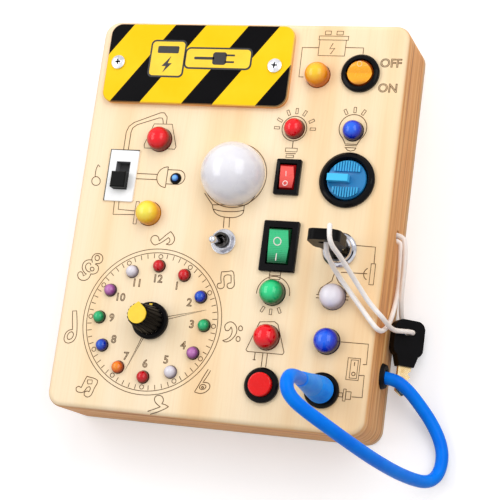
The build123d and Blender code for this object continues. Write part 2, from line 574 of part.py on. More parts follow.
# ================================================================ slide switch
def slide_plate():
    """White plate under the slide, slotted for it."""
    cover = plate(SLIDE_PLATE_W, SLIDE_PLATE_H, SLIDE_PLATE_T, 0.6)
    cover -= block(SLOT_W, SLOT_H, SLIDE_PLATE_T)
    return Pos(SLIDE_X, SLIDE_Y, FACE) * cover


def slide_can():
    """Metal can of the slide switch behind the face, with its lugs."""
    can = block(SLIDE_CAN_W, SLIDE_CAN_H, SLIDE_CAN_D, z=-SLIDE_CAN_D)
    well = SLIDE_SHOE_T + 2 * GAP
    can -= block(SLIDE_SHOE_W + 2 * GAP, SLIDE_SHOE_H + SLIDE_TRAVEL + 2 * GAP, well, z=-well)
    for row in range(-1, 2):
        can += block(1.6, 0.6, 3.5, 0, row * 4.0, -SLIDE_CAN_D - 3.5)
    return Pos(SLIDE_X, SLIDE_Y, UNDER) * can


def slide_lever():
    """Square black slide at the low end of its slot."""
    shoe_top = -FRONT_T - GAP
    lever = block(SLIDE_SHOE_W, SLIDE_SHOE_H, SLIDE_SHOE_T, z=shoe_top - SLIDE_SHOE_T)
    head = SLIDE_PLATE_T + GAP
    lever += block(SLIDE_STEM_W, SLIDE_STEM_H, head - shoe_top, z=shoe_top)
    grip = block(SLIDE_HEAD_W, SLIDE_HEAD_H, SLIDE_HEAD_L, z=head)
    lever += chamfer(grip.faces().sort_by(Axis.Z)[-1].edges(), 0.4)
    return Pos(SLIDE_X, SLIDE_Y - SLIDE_TRAVEL / 2, FACE) * lever


# ================================================================ toggle switch
def toggle_body():
    """Toggle switch: case behind the face, threaded bushing through it."""
    case = block(TOGGLE_CASE_W, TOGGLE_CASE_H, TOGGLE_CASE_D, z=-FRONT_T - TOGGLE_CASE_D)
    case += disc(TOGGLE_BUSH_R, FRONT_T + TOGGLE_BUSH_H, z=-FRONT_T)
    case -= disc(TOGGLE_BORE_R, TOGGLE_BUSH_H + 2.0, z=-2.0)
    for row in range(-1, 2):
        case += block(1.8, 0.8, 4.0, 0, row * 4.0, -FRONT_T - TOGGLE_CASE_D - 4.0)
    return Pos(TOGGLE_X, TOGGLE_Y, FACE) * case


def toggle_nut():
    """Washer and hexagon nut on the toggle's bushing."""
    bore = TOGGLE_BUSH_R + FIT
    washer = disc(WASHER_R, WASHER_T) - disc(bore, WASHER_T)
    nut = hexagon(TOGGLE_NUT_AF, TOGGLE_NUT_T) - disc(bore, TOGGLE_NUT_T)
    seat = Pos(TOGGLE_X, TOGGLE_Y, FACE)
    return Compound([seat * washer, seat * Pos(0, 0, WASHER_T) * nut])


def toggle_lever():
    """Bat lever on its ball, leaning to the lower side."""
    ball = Sphere(TOGGLE_BALL_R)
    tip_z = TOGGLE_L - TOGGLE_TIP_R
    half = math.sqrt(0.5) * TOGGLE_TIP_R
    bat = turned(Polyline((0, TOGGLE_L), (0, 0), (TOGGLE_NECK_R, 0), (TOGGLE_NECK_R, 4.0),
                          (TOGGLE_TIP_R, tip_z)),
                 ThreePointArc((TOGGLE_TIP_R, tip_z), (half, tip_z + half), (0, TOGGLE_L)))
    place = Pos(TOGGLE_X, TOGGLE_Y, FACE + TOGGLE_PIVOT_H)
    return place * Rot(TOGGLE_TILT, 0, 0) * (ball + bat)


# ================================================================ rockers
def rocker_end(window_h):
    """Distance from the pivot to the rocker's rounded ends."""
    return window_h / 2 - GAP


def rocker_pivot(end):
    """Pivot height over the face that leaves the pressed end just proud."""
    drop = end * math.sin(math.radians(ROCKER_TILT))
    return ROCKER_BEZEL_H + ROCKER_PROUD + drop - ROCKER_MID - ROCKER_RISE


def rocker_profile(end, width):
    """Bar with round ends and a shallow valley along its top, about the pivot."""
    top = ROCKER_MID + ROCKER_RISE
    valley = make_face(Plane.YZ * Polyline((-end, -ROCKER_BELOW), (end, -ROCKER_BELOW), (end, top),
                                           (0, ROCKER_MID), (-end, top), close=True))
    return extrude(valley, amount=width / 2, both=True)


def eased(end, width):
    """Prism whose upper long edges lean inwards, to trim a rocker's sides with."""
    top = ROCKER_MID + ROCKER_RISE
    half = width / 2
    across = make_face(Polyline((-half, -ROCKER_BELOW), (half, -ROCKER_BELOW),
                                (half, top - ROCKER_EASE_H), (half - ROCKER_EASE_W, top),
                                (ROCKER_EASE_W - half, top), (-half, top - ROCKER_EASE_H),
                                close=True))
    return extrude(Plane.XZ * across, amount=end, both=True)


def pivot_pin(length):
    """Pin along X about the origin."""
    return Rot(0, 90, 0) * Cylinder(ROCKER_PIN_R, length)


def blades(drop):
    """Three flat terminals under a switch case."""
    rows = [block(BLADE_W, BLADE_T, BLADE_L, 0, row * BLADE_PITCH, -drop - BLADE_L)
            for row in (-1, 0, 1)]
    return rows[0] + rows[1] + rows[2]


def rocker_frame(size):
    """Black frame and case of a rectangular rocker switch."""
    x, y, bezel_w, bezel_h, case_w, case_h, window_w, window_h = size
    bezel = plate(bezel_w, bezel_h, ROCKER_BEZEL_H, ROCKER_CORNER_R)
    bezel = chamfer(bezel.faces().sort_by(Axis.Z)[-1].edges(), 0.4)
    frame = bezel + block(case_w, case_h, ROCKER_CASE_D, z=-ROCKER_CASE_D)
    frame -= block(window_w, window_h, ROCKER_WELL_D + ROCKER_BEZEL_H, z=-ROCKER_WELL_D)
    bore = Rot(0, 90, 0) * Cylinder(ROCKER_PIN_R + RUN, window_w - 2 * GAP + 2 * ROCKER_PIN_L + 2 * FIT)
    frame -= Pos(0, 0, rocker_pivot(rocker_end(window_h))) * bore
    frame += blades(ROCKER_CASE_D)
    return Pos(x, y, FACE) * frame


def rocker(size):
    """Coloured rocker on its pins, tilted to its rest side."""
    x, y, _, _, _, _, window_w, window_h = size
    end = rocker_end(window_h)
    width = window_w - 2 * GAP
    bar = rocker_profile(end, width) & (Rot(0, 90, 0) * Cylinder(end, width))
    bar &= eased(end, width)
    bar += pivot_pin(width + 2 * ROCKER_PIN_L)
    return Pos(x, y, FACE + rocker_pivot(end)) * Rot(ROCKER_TILT, 0, 0) * bar


def round_rocker_frame():
    """Round black frame and case of the orange rocker."""
    rim = turned_line((0, 0), (ROUND_BEZEL_R, 0), (ROUND_BEZEL_R, ROCKER_BEZEL_H - 0.7),
                      (ROUND_BEZEL_R - 0.7, ROCKER_BEZEL_H), (0, ROCKER_BEZEL_H))
    frame = rim + disc(ROUND_CASE_R, ROCKER_CASE_D, z=-ROCKER_CASE_D)
    frame -= disc(ROUND_WINDOW_R, ROCKER_WELL_D + ROCKER_BEZEL_H, z=-ROCKER_WELL_D)
    end = ROUND_WINDOW_R - GAP
    frame -= Pos(0, 0, rocker_pivot(end)) * Rot(0, 90, 0) * Cylinder(
        ROCKER_PIN_R + RUN, 2 * (end + ROCKER_PIN_L + FIT))
    frame += blades(ROCKER_CASE_D)
    return Pos(ROUND_X, ROUND_Y, FACE) * frame


def round_rocker():
    """Orange round rocker: a ball cut by the same shallow valley."""
    end = ROUND_WINDOW_R - GAP
    bar = rocker_profile(end, 2 * end) & Sphere(end)
    bar += pivot_pin(2 * (end + ROCKER_PIN_L))
    return Pos(ROUND_X, ROUND_Y, FACE + rocker_pivot(end)) * Rot(ROCKER_TILT, 0, 0) * bar


# ================================================================ blue dial
def dial_frame():
    """Wide black ring and case of the turn switch."""
    rim = turned_line((0, 0), (DIAL_BEZEL_R, 0), (DIAL_BEZEL_R, DIAL_BEZEL_H - 1.0),
                      (DIAL_BEZEL_R - 1.0, DIAL_BEZEL_H), (0, DIAL_BEZEL_H))
    frame = rim + disc(DIAL_CASE_R, DIAL_CASE_D, z=-DIAL_CASE_D)
    frame -= disc(DIAL_WINDOW_R, DIAL_WELL_D + DIAL_BEZEL_H, z=-DIAL_WELL_D)
    frame -= turned_line((0, 1.0), (DIAL_WINDOW_R, 1.0), (DIAL_MOUTH_R, DIAL_BEZEL_H),
                         (0, DIAL_BEZEL_H))
    frame -= disc(DIAL_SHAFT_R + RUN, DIAL_SHAFT_L + GAP, z=-DIAL_WELL_D - DIAL_SHAFT_L - GAP)
    frame += blades(DIAL_CASE_D)
    return Pos(DIAL_X, DIAL_Y, FACE) * frame


def blue_dial():
    """Turn disc with two ribbed shoulders and a pointer fin between them."""
    low = -DIAL_WELL_D + GAP
    dial = disc(DIAL_R, DIAL_FLOOR - low, z=low)
    dial = chamfer(dial.faces().sort_by(Axis.Z)[-1].edges(), 0.3)
    dial += disc(DIAL_SHAFT_R, DIAL_SHAFT_L, z=low - DIAL_SHAFT_L)
    sides = disc(DIAL_SIDE_R, DIAL_SIDE - DIAL_FLOOR, z=DIAL_FLOOR)
    sides &= block(DIAL_SIDE_W, 2 * DIAL_R, DIAL_SIDE, z=DIAL_FLOOR)
    sides -= block(2 * DIAL_R, DIAL_CHANNEL, DIAL_SIDE, z=DIAL_FLOOR)
    for row in range(DIAL_GROOVES):
        x = (row - (DIAL_GROOVES - 1) / 2) * DIAL_GROOVE_PITCH
        sides -= block(DIAL_GROOVE_W, 2 * DIAL_R, DIAL_GROOVE_D, x, 0, DIAL_SIDE - DIAL_GROOVE_D)
    side = Polyline((FIN_START, DIAL_FLOOR), (FIN_START + FIN_DRAFT, FIN_TOP),
                    (FIN_END - FIN_DRAFT, FIN_TOP), (FIN_END, DIAL_FLOOR), close=True)
    dial += extrude(make_face(Plane.XZ * side), amount=FIN_W / 2, both=True)
    return Pos(DIAL_X, DIAL_Y, FACE) * (dial + sides)


# ================================================================ key lock
def lock_barrel():
    """Lock barrel: bored tube through the face with a dress flange in front."""
    barrel = turned_line((0, -FRONT_T - LOCK_D), (LOCK_R, -FRONT_T - LOCK_D), (LOCK_R, 0),
                         (LOCK_FLANGE_R, 0), (LOCK_FLANGE_R, LOCK_FLANGE_T - 0.8),
                         (LOCK_FLANGE_R - 0.8, LOCK_FLANGE_T), (LOCK_RIM_R, LOCK_FLANGE_T),
                         (LOCK_RIM_R - 0.5, LOCK_PROUD), (0, LOCK_PROUD))
    depth = CORE_D + CORE_SINK + GAP
    barrel -= disc(LOCK_BORE_R, depth, z=LOCK_PROUD - depth)
    barrel += block(4.0, 0.8, 3.5, 0, 2.4, -FRONT_T - LOCK_D - 3.5)
    barrel += block(4.0, 0.8, 3.5, 0, -2.4, -FRONT_T - LOCK_D - 3.5)
    return Pos(LOCK_X, LOCK_Y, FACE) * barrel


def lock_nut():
    """Hexagon nut that clamps the lock from behind the face."""
    nut = hexagon(LOCK_NUT_AF, LOCK_NUT_T) - disc(LOCK_R + FIT, LOCK_NUT_T)
    return Pos(LOCK_X, LOCK_Y, UNDER - LOCK_NUT_T) * Rot(0, 0, 12) * nut


def lock_core():
    """Turning core with the keyway across it."""
    top = LOCK_PROUD - CORE_SINK
    core = disc(CORE_R, CORE_D, z=top - CORE_D)
    way = KEY_BLADE_T + 2 * FIT
    core -= block(KEY_BLADE_W + 2 * FIT, way, CORE_D - 1.0, z=top - CORE_D + 1.0)
    return Pos(LOCK_X, LOCK_Y, FACE) * core


def key_head():
    """Moulded bow with a lace slot and a neck, shoulder at the origin, bow up +Y."""
    bow = Pos(0, KEY_BOW_L / 2) * RectangleRounded(KEY_BOW_W, KEY_BOW_L, KEY_BOW_R)
    neck = make_face(Polyline((-KEY_BOW_W / 2 + 1.2, KEY_BOW_R - 1.0), (-KEY_NECK_W / 2, -KEY_NECK_L),
                              (KEY_NECK_W / 2, -KEY_NECK_L), (KEY_BOW_W / 2 - 1.2, KEY_BOW_R - 1.0),
                              close=True))
    head = extrude(bow + neck, amount=KEY_T / 2, both=True)
    head -= plate(KEY_SLOT_W, KEY_SLOT_H, KEY_T, KEY_SLOT_H / 2 - 0.05, 0, KEY_SLOT_Y, -KEY_T / 2)
    head -= Pos(0, -KEY_NECK_L + 2.0, 0) * Box(KEY_BLADE_W + FIT, 4.0, KEY_BLADE_T + FIT)
    return head


def key_blade():
    """Flat blade with bitting on one edge, its root moulded into the neck."""
    root = -KEY_NECK_L + 4.0 - FIT
    tip = -KEY_NECK_L - KEY_BLADE_L
    half = KEY_BLADE_W / 2
    points = [(-half, root), (-half, tip + 2.0), (0, tip), (half, tip + 2.0)]
    for step in range(3):
        low = tip + 3.0 + step * 2.6
        points += [(half, low), (half - 1.1, low + 0.9), (half - 1.1, low + 1.4), (half, low + 2.3)]
    points.append((half, root))
    return extrude(make_face(Polyline(*points, close=True)), amount=KEY_BLADE_T / 2, both=True)


def in_lock(piece):
    """Stand a key piece in the lock, bow out of the face and flat along X."""
    return Pos(LOCK_X, LOCK_Y, FACE + KEY_SHOULDER) * Rot(90, 0, 0) * piece


def on_floor(piece):
    """Lean a key piece on the board's right side, low edge on the floor."""
    lean = math.radians(SPARE_LEAN)
    half_w = KEY_BOW_W / 2
    half_t = KEY_T / 2
    x = RIGHT + GAP + half_w * math.cos(lean) + half_t * math.sin(lean)
    z = half_w * math.sin(lean) + half_t * math.cos(lean)
    return Pos(x, SPARE_Y, z) * Rot(0, SPARE_LEAN, 0) * piece


# ================================================================ push button
def button_frame():
    """Ring and case of the push button."""
    rim = turned_line((0, 0), (BUTTON_RING_R, 0), (BUTTON_RING_R, BUTTON_RING_H - 0.8),
                      (BUTTON_RING_R - 0.8, BUTTON_RING_H), (0, BUTTON_RING_H))
    frame = rim + disc(BUTTON_CASE_R, BUTTON_CASE_D, z=-BUTTON_CASE_D)
    well = BUTTON_CAP_D + BUTTON_TRAVEL + GAP
    frame -= disc(BUTTON_CAP_R + FIT, well + BUTTON_RING_H, z=-well)
    frame += block(3.0, 0.8, 4.0, 0, 2.5, -BUTTON_CASE_D - 4.0)
    frame += block(3.0, 0.8, 4.0, 0, -2.5, -BUTTON_CASE_D - 4.0)
    return Pos(BUTTON_X, BUTTON_Y, FACE) * frame


def button_cap():
    """Red cap with an eased edge."""
    cap = disc(BUTTON_CAP_R, BUTTON_CAP_D + BUTTON_CAP_PROUD, z=-BUTTON_CAP_D)
    cap = fillet(cap.faces().sort_by(Axis.Z)[-1].edges(), 0.6)
    return Pos(BUTTON_X, BUTTON_Y, FACE) * cap


# ================================================================ socket, plug, lead
def jack_socket():
    """Black socket with a round collar on the face."""
    rim = turned_line((0, 0), (JACK_RING_R, 0), (JACK_RING_R, JACK_RING_H - 0.7),
                      (JACK_RING_R - 0.7, JACK_RING_H), (0, JACK_RING_H))
    socket = rim + disc(JACK_CASE_R, JACK_CASE_D, z=-JACK_CASE_D)
    socket -= disc(PIN_R + FIT, PIN_L + JACK_RING_H, z=JACK_RING_H - PIN_L - 0.5)
    socket += block(2.4, 0.8, 4.0, 0, 2.0, -JACK_CASE_D - 4.0)
    socket += block(2.4, 0.8, 4.0, 0, -2.0, -JACK_CASE_D - 4.0)
    return Pos(JACK_X, JACK_Y, FACE) * socket


def plug_pin():
    """Metal pin of the plug with its ringed tip and a root in the boot."""
    seat = JACK_RING_H + FIT
    tip = seat - PIN_L
    pin = turned_line((0, seat + 6.0), (0, tip), (0.9, tip), (PIN_R, tip + 1.6),
                      (PIN_R * 0.72, tip + 2.8), (PIN_R, tip + 3.6), (PIN_R, seat + 6.0))
    return Pos(JACK_X, JACK_Y, FACE) * pin


def plug_boot():
    """Ribbed rubber plug body that narrows to the lead."""
    seat = JACK_RING_H + FIT
    ribs_from = seat + BOOT_SMOOTH
    ribs_to = ribs_from + BOOT_RIBS * BOOT_RIB_PITCH
    slope = (BOOT_R - BOOT_NECK_R) / (BOOT_TOP - 4.0 - ribs_from)
    points = [(0, BOOT_TOP), (0, seat), (BOOT_R - 0.5, seat), (BOOT_R, seat + 0.5)]
    for rib in range(BOOT_RIBS):
        low = ribs_from + rib * BOOT_RIB_PITCH
        radius = BOOT_R - slope * rib * BOOT_RIB_PITCH
        points += [(radius, low), (radius - BOOT_RIB_D, low + 0.25),
                   (radius - BOOT_RIB_D, low + 0.6), (radius, low + 0.85)]
    points += [(BOOT_R - slope * (ribs_to - ribs_from), ribs_to), (BOOT_NECK_R, BOOT_TOP - 4.0),
               (LEAD_R + 0.3, BOOT_TOP)]
    boot = turned_line(*points) - disc(PIN_R + FIT / 2, 6.0 + FIT, z=seat)
    return Pos(JACK_X, JACK_Y, FACE) * boot


def cable_grommet():
    """Rubber grommet in the right side wall."""
    bore = LEAD_R + FIT / 2
    ring = turned_line((bore, -WALL), (GROMMET_NECK_R, -WALL), (GROMMET_NECK_R, 0),
                       (GROMMET_R, 0), (GROMMET_R - 0.6, GROMMET_FLANGE), (bore, GROMMET_FLANGE))
    return Pos(RIGHT, GROMMET_Y, GROMMET_Z) * Rot(0, 90, 0) * ring


def key_lanyard():
    """White lace loop, knotted inside the side wall."""
    lace = tube(LACE_ROUTE, LACE_R, "key_lanyard")
    return lace + Pos(WALL_IN - KNOT_R, LACE_Y, LACE_Z) * Sphere(KNOT_R)


# ================================================================ all pieces
PARTS = {
    "front_panel": front_panel(),
    "side_frame": side_frame(),
    "back_panel": back_panel(),
    "back_screws": back_screws(),
    "battery_cover": battery_cover(),
    "cover_screws": cover_screws(),
    "battery_tray": battery_tray(),
    "battery_cells": battery_cells(),
    "battery_contacts": battery_contacts(),
    "lamp_white_large": Compound([lamp(LARGE, *WHITE_LAMP), lamp(LARGE, DOME_X, DOME_Y)]),
    "lamp_bezel": lamp_bezel(),
    "bulb_dome": bulb_dome(),
    "clock_board": clock_board(),
    "rotary_body": rotary_body(),
    "rotary_nut": rotary_nut(),
    "rotary_shaft": rotary_shaft(),
    "clock_knob": clock_knob(),
    "knob_cap": knob_cap(),
    "slide_plate": slide_plate(),
    "slide_can": slide_can(),
    "slide_lever": slide_lever(),
    "toggle_body": toggle_body(),
    "toggle_nut": toggle_nut(),
    "toggle_lever": toggle_lever(),
    "red_rocker_frame": rocker_frame(RED_ROCKER),
    "red_rocker": rocker(RED_ROCKER),
    "green_rocker_frame": rocker_frame(GREEN_ROCKER),
    "green_rocker": rocker(GREEN_ROCKER),
    "round_rocker_frame": round_rocker_frame(),
    "round_rocker": round_rocker(),
    "dial_frame": dial_frame(),
    "blue_dial": blue_dial(),
    "lock_barrel": lock_barrel(),
    "lock_nut": lock_nut(),
    "lock_core": lock_core(),
    "key_head": in_lock(key_head()),
    "key_blade": in_lock(key_blade()),
    "spare_key_head": on_floor(key_head()),
    "spare_key_blade": on_floor(key_blade()),
    "key_lanyard": key_lanyard(),
    "button_frame": button_frame(),
    "button_cap": button_cap(),
    "jack_socket": jack_socket(),
    "plug_pin": plug_pin(),
    "plug_boot": plug_boot(),
    "plug_lead": tube(LEAD_ROUTE, LEAD_R, "plug_lead"),
    "cable_grommet": cable_grommet(),
}
for node, (kind, spots) in LAMPS.items():
    PARTS[node] = Compound([lamp(kind, x, y) for x, y in spots])
for colour in sorted(set(HOUR_COLOURS)):
    PARTS["small_lamps_" + colour] = small_lamps(colour)

os.makedirs("parts", exist_ok=True)
for node, shape in PARTS.items():
    export_step(shape, "parts/" + node + ".step")
print(len(PARTS), "nodes")
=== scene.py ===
# %% [markdown]
# A wooden busy board for a toddler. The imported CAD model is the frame: it says
# where each piece sits and how it moves, in metres, with the board on its back,
# +Z out of the play face, +Y up the board and +X to its right. This lesson
# dresses that frame. Lengths below are in millimetres where a name is not in
# metres, because a board this small is easier to read that way.

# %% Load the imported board
import json
import math

import bmesh
import bpy
from mathutils import Matrix, Vector

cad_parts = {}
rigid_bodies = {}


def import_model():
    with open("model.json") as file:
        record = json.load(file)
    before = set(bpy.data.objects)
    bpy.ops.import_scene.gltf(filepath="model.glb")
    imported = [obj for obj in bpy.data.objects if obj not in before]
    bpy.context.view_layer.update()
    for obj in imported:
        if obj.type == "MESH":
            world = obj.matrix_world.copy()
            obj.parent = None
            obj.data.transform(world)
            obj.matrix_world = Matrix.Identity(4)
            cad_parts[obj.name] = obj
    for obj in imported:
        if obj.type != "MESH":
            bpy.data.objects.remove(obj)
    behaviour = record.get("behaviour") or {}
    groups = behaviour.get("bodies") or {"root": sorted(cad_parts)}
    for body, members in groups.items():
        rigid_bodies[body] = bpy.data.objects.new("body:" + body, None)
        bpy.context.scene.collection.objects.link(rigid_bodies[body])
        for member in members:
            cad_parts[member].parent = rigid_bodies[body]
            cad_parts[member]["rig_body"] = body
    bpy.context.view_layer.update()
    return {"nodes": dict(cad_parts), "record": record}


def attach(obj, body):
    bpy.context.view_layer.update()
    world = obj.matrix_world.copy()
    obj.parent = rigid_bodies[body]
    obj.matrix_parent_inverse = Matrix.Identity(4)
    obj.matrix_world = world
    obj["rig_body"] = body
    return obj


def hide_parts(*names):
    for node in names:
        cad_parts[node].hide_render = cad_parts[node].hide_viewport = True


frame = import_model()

MM = 0.001
FACE = 31.0

# %% [markdown]
# The camera comes first. It looks from the right and a little below, from
# about 640 mm away through a long lens, so the face's edges stay nearly
# parallel. A camera looks along its own -Z with +Y up, so its rotation is the
# matrix whose columns are its right, up and backward directions.

# %% Camera, places in metres
CAMERA_PLACE = Vector((0.21727, -0.13993, 0.61284))
CAMERA_AHEAD = Vector((-0.3260, 0.2010, -0.9240)).normalized()
CAMERA_UP = Vector((-0.061, 0.971, 0.233))
CAMERA_LENS = 111.5
CAMERA_SENSOR = 36.0
CLIP_NEAR, CLIP_FAR = 0.05, 20.0


def look_matrix(place, ahead, up):
    """Placement of something that looks along ahead, with up on top."""
    right = ahead.cross(up).normalized()
    upward = right.cross(ahead).normalized()
    turn = Matrix((right, upward, -ahead)).transposed()
    return Matrix.Translation(place) @ turn.to_4x4()


def new_object(name, data):
    """Object of some data, linked to the scene."""
    made = bpy.data.objects.new(name, data)
    bpy.context.scene.collection.objects.link(made)
    return made


camera = new_object("camera", bpy.data.cameras.new("camera"))
camera.matrix_world = look_matrix(CAMERA_PLACE, CAMERA_AHEAD, CAMERA_UP)
camera.data.lens = CAMERA_LENS
camera.data.sensor_width = CAMERA_SENSOR
camera.data.clip_start = CLIP_NEAR
camera.data.clip_end = CLIP_FAR
bpy.context.scene.camera = camera
bpy.context.scene.view_settings.view_transform = "Standard"
print("camera", round((CAMERA_PLACE - Vector((0, 0, FACE * MM))).length, 3), "m from the face")

# %% [markdown]
# Two cords hang on the board. The blue lead leaves the plug's boot, arches over
# the lower right corner and comes round on the floor to a grommet in the side.
# The white lace runs from a hole in the side through the spare key, over the
# face, through the bow of the key in the lock, and back. Each is a NURBS curve:
# its control points pull the line without kinks, as a soft cord bends.

# %% Cord routes, in metres
LEAD_R = 0.0026
LEAD_ROUTE = [
    (0.0495, -0.0678, 0.061), (0.0495, -0.0678, 0.0722), (0.0493, -0.0700, 0.0776),
    (0.0499, -0.0740, 0.0790), (0.0520, -0.0773, 0.0778), (0.0556, -0.0802, 0.0752),
    (0.0630, -0.0848, 0.0684), (0.0698, -0.0892, 0.0576), (0.0762, -0.0932, 0.0440),
    (0.0818, -0.0960, 0.029), (0.0862, -0.0972, 0.0168), (0.0898, -0.0972, 0.0088),
    (0.0924, -0.0950, 0.0046), (0.0938, -0.0908, 0.0028), (0.0940, -0.0854, 0.0027),
    (0.0924, -0.0800, 0.0027), (0.0888, -0.0736, 0.0037), (0.0840, -0.0674, 0.0066),
    (0.0788, -0.0616, 0.0102), (0.0726, -0.0576, 0.0125), (0.06065, -0.0575, 0.0125),
]
LACE_R = 0.001
LACE_ROUTE = [
    (0.0596, 0.00115, 0.014), (0.0706, 0.00115, 0.014), (0.0721, -0.0048, 0.0138),
    (0.0723, -0.0140, 0.0122), (0.0716, -0.0235, 0.0098), (0.0714, -0.0306, 0.0056),
    (0.0722, -0.0352, 0.0024), (0.0745, -0.0378, 0.0020), (0.0780, -0.0381, 0.0077),
    (0.0775, -0.0385, 0.0118), (0.0745, -0.0390, 0.0148), (0.0725, -0.0396, 0.0190),
    (0.0720, -0.0394, 0.0255), (0.0706, -0.0372, 0.0322), (0.0655, -0.0326, 0.0342),
    (0.0598, -0.0246, 0.0402), (0.0560, -0.0180, 0.0515), (0.0535, -0.0148, 0.0600),
    (0.0526, -0.0073, 0.0597), (0.0510, -0.0072, 0.0528), (0.0498, -0.0152, 0.0530),
    (0.0508, -0.0200, 0.0440), (0.0539, -0.0248, 0.0370), (0.0600, -0.0320, 0.0334),
    (0.0658, -0.0388, 0.0331), (0.0700, -0.0430, 0.0322), (0.0697, -0.0398, 0.0215),
    (0.0694, -0.0352, 0.0140), (0.0696, -0.0268, 0.0094), (0.0702, -0.0185, 0.0098),
    (0.0702, -0.0110, 0.0118), (0.0701, -0.0062, 0.0134), (0.0699, -0.0012, 0.0140),
    (0.0596, -0.00115, 0.014),
]
CORD_STEPS = 12


def cord_curve(name, route, radius, around):
    """Round cord on a NURBS line whose control points are the route.

    The points carry the radius and the bevel is 1, so the curve's box stays tight.
    """
    data = bpy.data.curves.new(name, "CURVE")
    data.dimensions = "3D"
    line = data.splines.new("NURBS")
    line.points.add(len(route) - 1)
    for point, place in zip(line.points, route):
        point.co = (*place, 1.0)
        point.radius = radius
    line.order_u = 3
    line.use_endpoint_u = True
    data.resolution_u = CORD_STEPS
    data.bevel_depth = 1.0
    data.bevel_resolution = around
    data.use_fill_caps = True
    return new_object(name, data)


lead = cord_curve("blue_lead", LEAD_ROUTE, LEAD_R, 8)
lace = cord_curve("white_lace", LACE_ROUTE, LACE_R, 5)
print("cords:", lead.name, "and", lace.name)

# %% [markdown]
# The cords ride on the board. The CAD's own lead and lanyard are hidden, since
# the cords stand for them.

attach(lead, "board")
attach(lace, "board")
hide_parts("plug_lead")
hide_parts("key_lanyard")

# %% [markdown]
# Colours are written as a screen shows them, from 0 to 255. Shaders work in
# linear light, so one helper converts them.

# %% Colour helper
def screen(red, green, blue):
    """Linear colour with alpha from a screen colour of 0 to 255."""
    linear = []
    for value in (red / 255, green / 255, blue / 255):
        linear.append(value / 12.92 if value <= 0.04 else ((value + 0.055) / 1.055) ** 2.4)
    return (*linear, 1.0)


print("pale wood in linear light:", [round(c, 3) for c in screen(250, 226, 190)[:3]])

# %% [markdown]
# Materials are small trees of nodes. One helper adds a node and fills or links
# its inputs by name, and small ones on top of it give what every finish needs:
# a noise stretched along the grain, a ramp of colours, a mix, and the way that
# a fine grain shows in a surface's gloss and relief.

# %% Node helpers
def fill(tree, socket, value):
    """Link another node's socket to an input, or set a number or a colour on it."""
    if isinstance(value, bpy.types.NodeSocket):
        tree.links.new(value, socket)
    else:
        socket.default_value = value


def add(tree, kind, settings=None, **inputs):
    """Add a shader node and fill its inputs by name."""
    made = tree.nodes.new("ShaderNode" + kind)
    for key, value in (settings or {}).items():
        setattr(made, key, value)
    for key, value in inputs.items():
        fill(tree, made.inputs[key.replace("_", " ")], value)
    return made


def maths(tree, operation, *values):
    """Result of a sum on numbers and sockets."""
    made = add(tree, "Math", {"operation": operation})
    for socket, value in zip(made.inputs, values):
        fill(tree, socket, value)
    return made.outputs[0]


def blank_tree(owner):
    """Empty node tree of a material or of the world."""
    owner.use_nodes = True
    owner.node_tree.nodes.clear()
    return owner.node_tree


def start(name, **gloss):
    """Empty material with its tree, object coordinates and shader."""
    material = bpy.data.materials.new(name)
    tree = blank_tree(material)
    place = add(tree, "TexCoord").outputs["Object"]
    shader = add(tree, "BsdfPrincipled", **gloss)
    add(tree, "OutputMaterial", Surface=shader.outputs["BSDF"])
    return material, tree, place, shader


def noise(tree, place, scale, detail=3.0, stretch=(1, 1, 1)):
    """Noise over a place, stretched per axis."""
    mapped = add(tree, "Mapping", Vector=place, Scale=stretch).outputs["Vector"]
    made = add(tree, "TexNoise", Vector=mapped, Scale=scale, Detail=detail, Roughness=0.55)
    return made.outputs["Fac"]


def ramp(tree, factor, *stops):
    """Colour ramp of (position, screen colour) stops."""
    made = add(tree, "ValToRGB", Fac=factor)
    elements = made.color_ramp.elements
    while len(elements) < len(stops):
        elements.new(0.5)
    for element, (position, colour) in zip(elements, stops):
        element.position = position
        element.color = screen(*colour)
    return made.outputs["Color"]


def mix(tree, factor, first, second, mode="MIX"):
    """Two colours or values mixed by a factor."""
    return add(tree, "MixRGB", {"blend_type": mode}, Fac=factor, Color1=first,
               Color2=second).outputs["Color"]


def stretch_range(tree, value, low, high, to_low=0.0, to_high=1.0):
    """Value mapped from one range to another."""
    made = add(tree, "MapRange", Value=value, From_Min=low, From_Max=high,
               To_Min=to_low, To_Max=to_high)
    return made.outputs["Result"]


def facing_up(tree):
    """How far the surface faces along +Z, 1 where it faces straight up."""
    normal = add(tree, "TexCoord").outputs["Normal"]
    return add(tree, "SeparateXYZ", Vector=normal).outputs["Z"]


def surface(tree, shader, colour, fine, low, high, depth=0.0, height=None):
    """Give the shader its colour, a roughness that follows a fine noise, and relief.

    The relief is depth metres high and follows height, or else the fine noise.
    """
    fill(tree, shader.inputs["Base Color"], colour)
    fill(tree, shader.inputs["Roughness"], stretch_range(tree, fine, 0.3, 0.7, low, high))
    if depth:
        relief = add(tree, "Bump", Height=fine if height is None else height, Distance=depth,
                     Strength=1.0)
        fill(tree, shader.inputs["Normal"], relief.outputs["Normal"])


print("node helpers ready")

# %% [markdown]
# The board's face is planed softwood, nearly white, with long faint bands that
# run up the board and fine fibres in them. Stretched noise gives both: wide
# bands for the growth rings and narrow ones for the fibres. The outside of the
# panel's edge shows the browner side wood, so the pale tone fades out on faces
# that lean away from +Z.

# %% Face wood
FACE_RAMP = ((0.34, (248, 212, 164)), (0.46, (252, 226, 186)), (0.62, (254, 232, 198)))
SIDE_RAMP = ((0.34, (186, 120, 66)), (0.50, (232, 168, 102)), (0.66, (242, 200, 138)))
FLECK_RAMP = ((0.30, (244, 232, 216)), (0.55, (255, 255, 255)))


def side_tone(tree, place):
    """Brown wood with long streaks along the board."""
    return ramp(tree, noise(tree, place, 260, 4.0, (0.06, 0.05, 1.6)), *SIDE_RAMP)


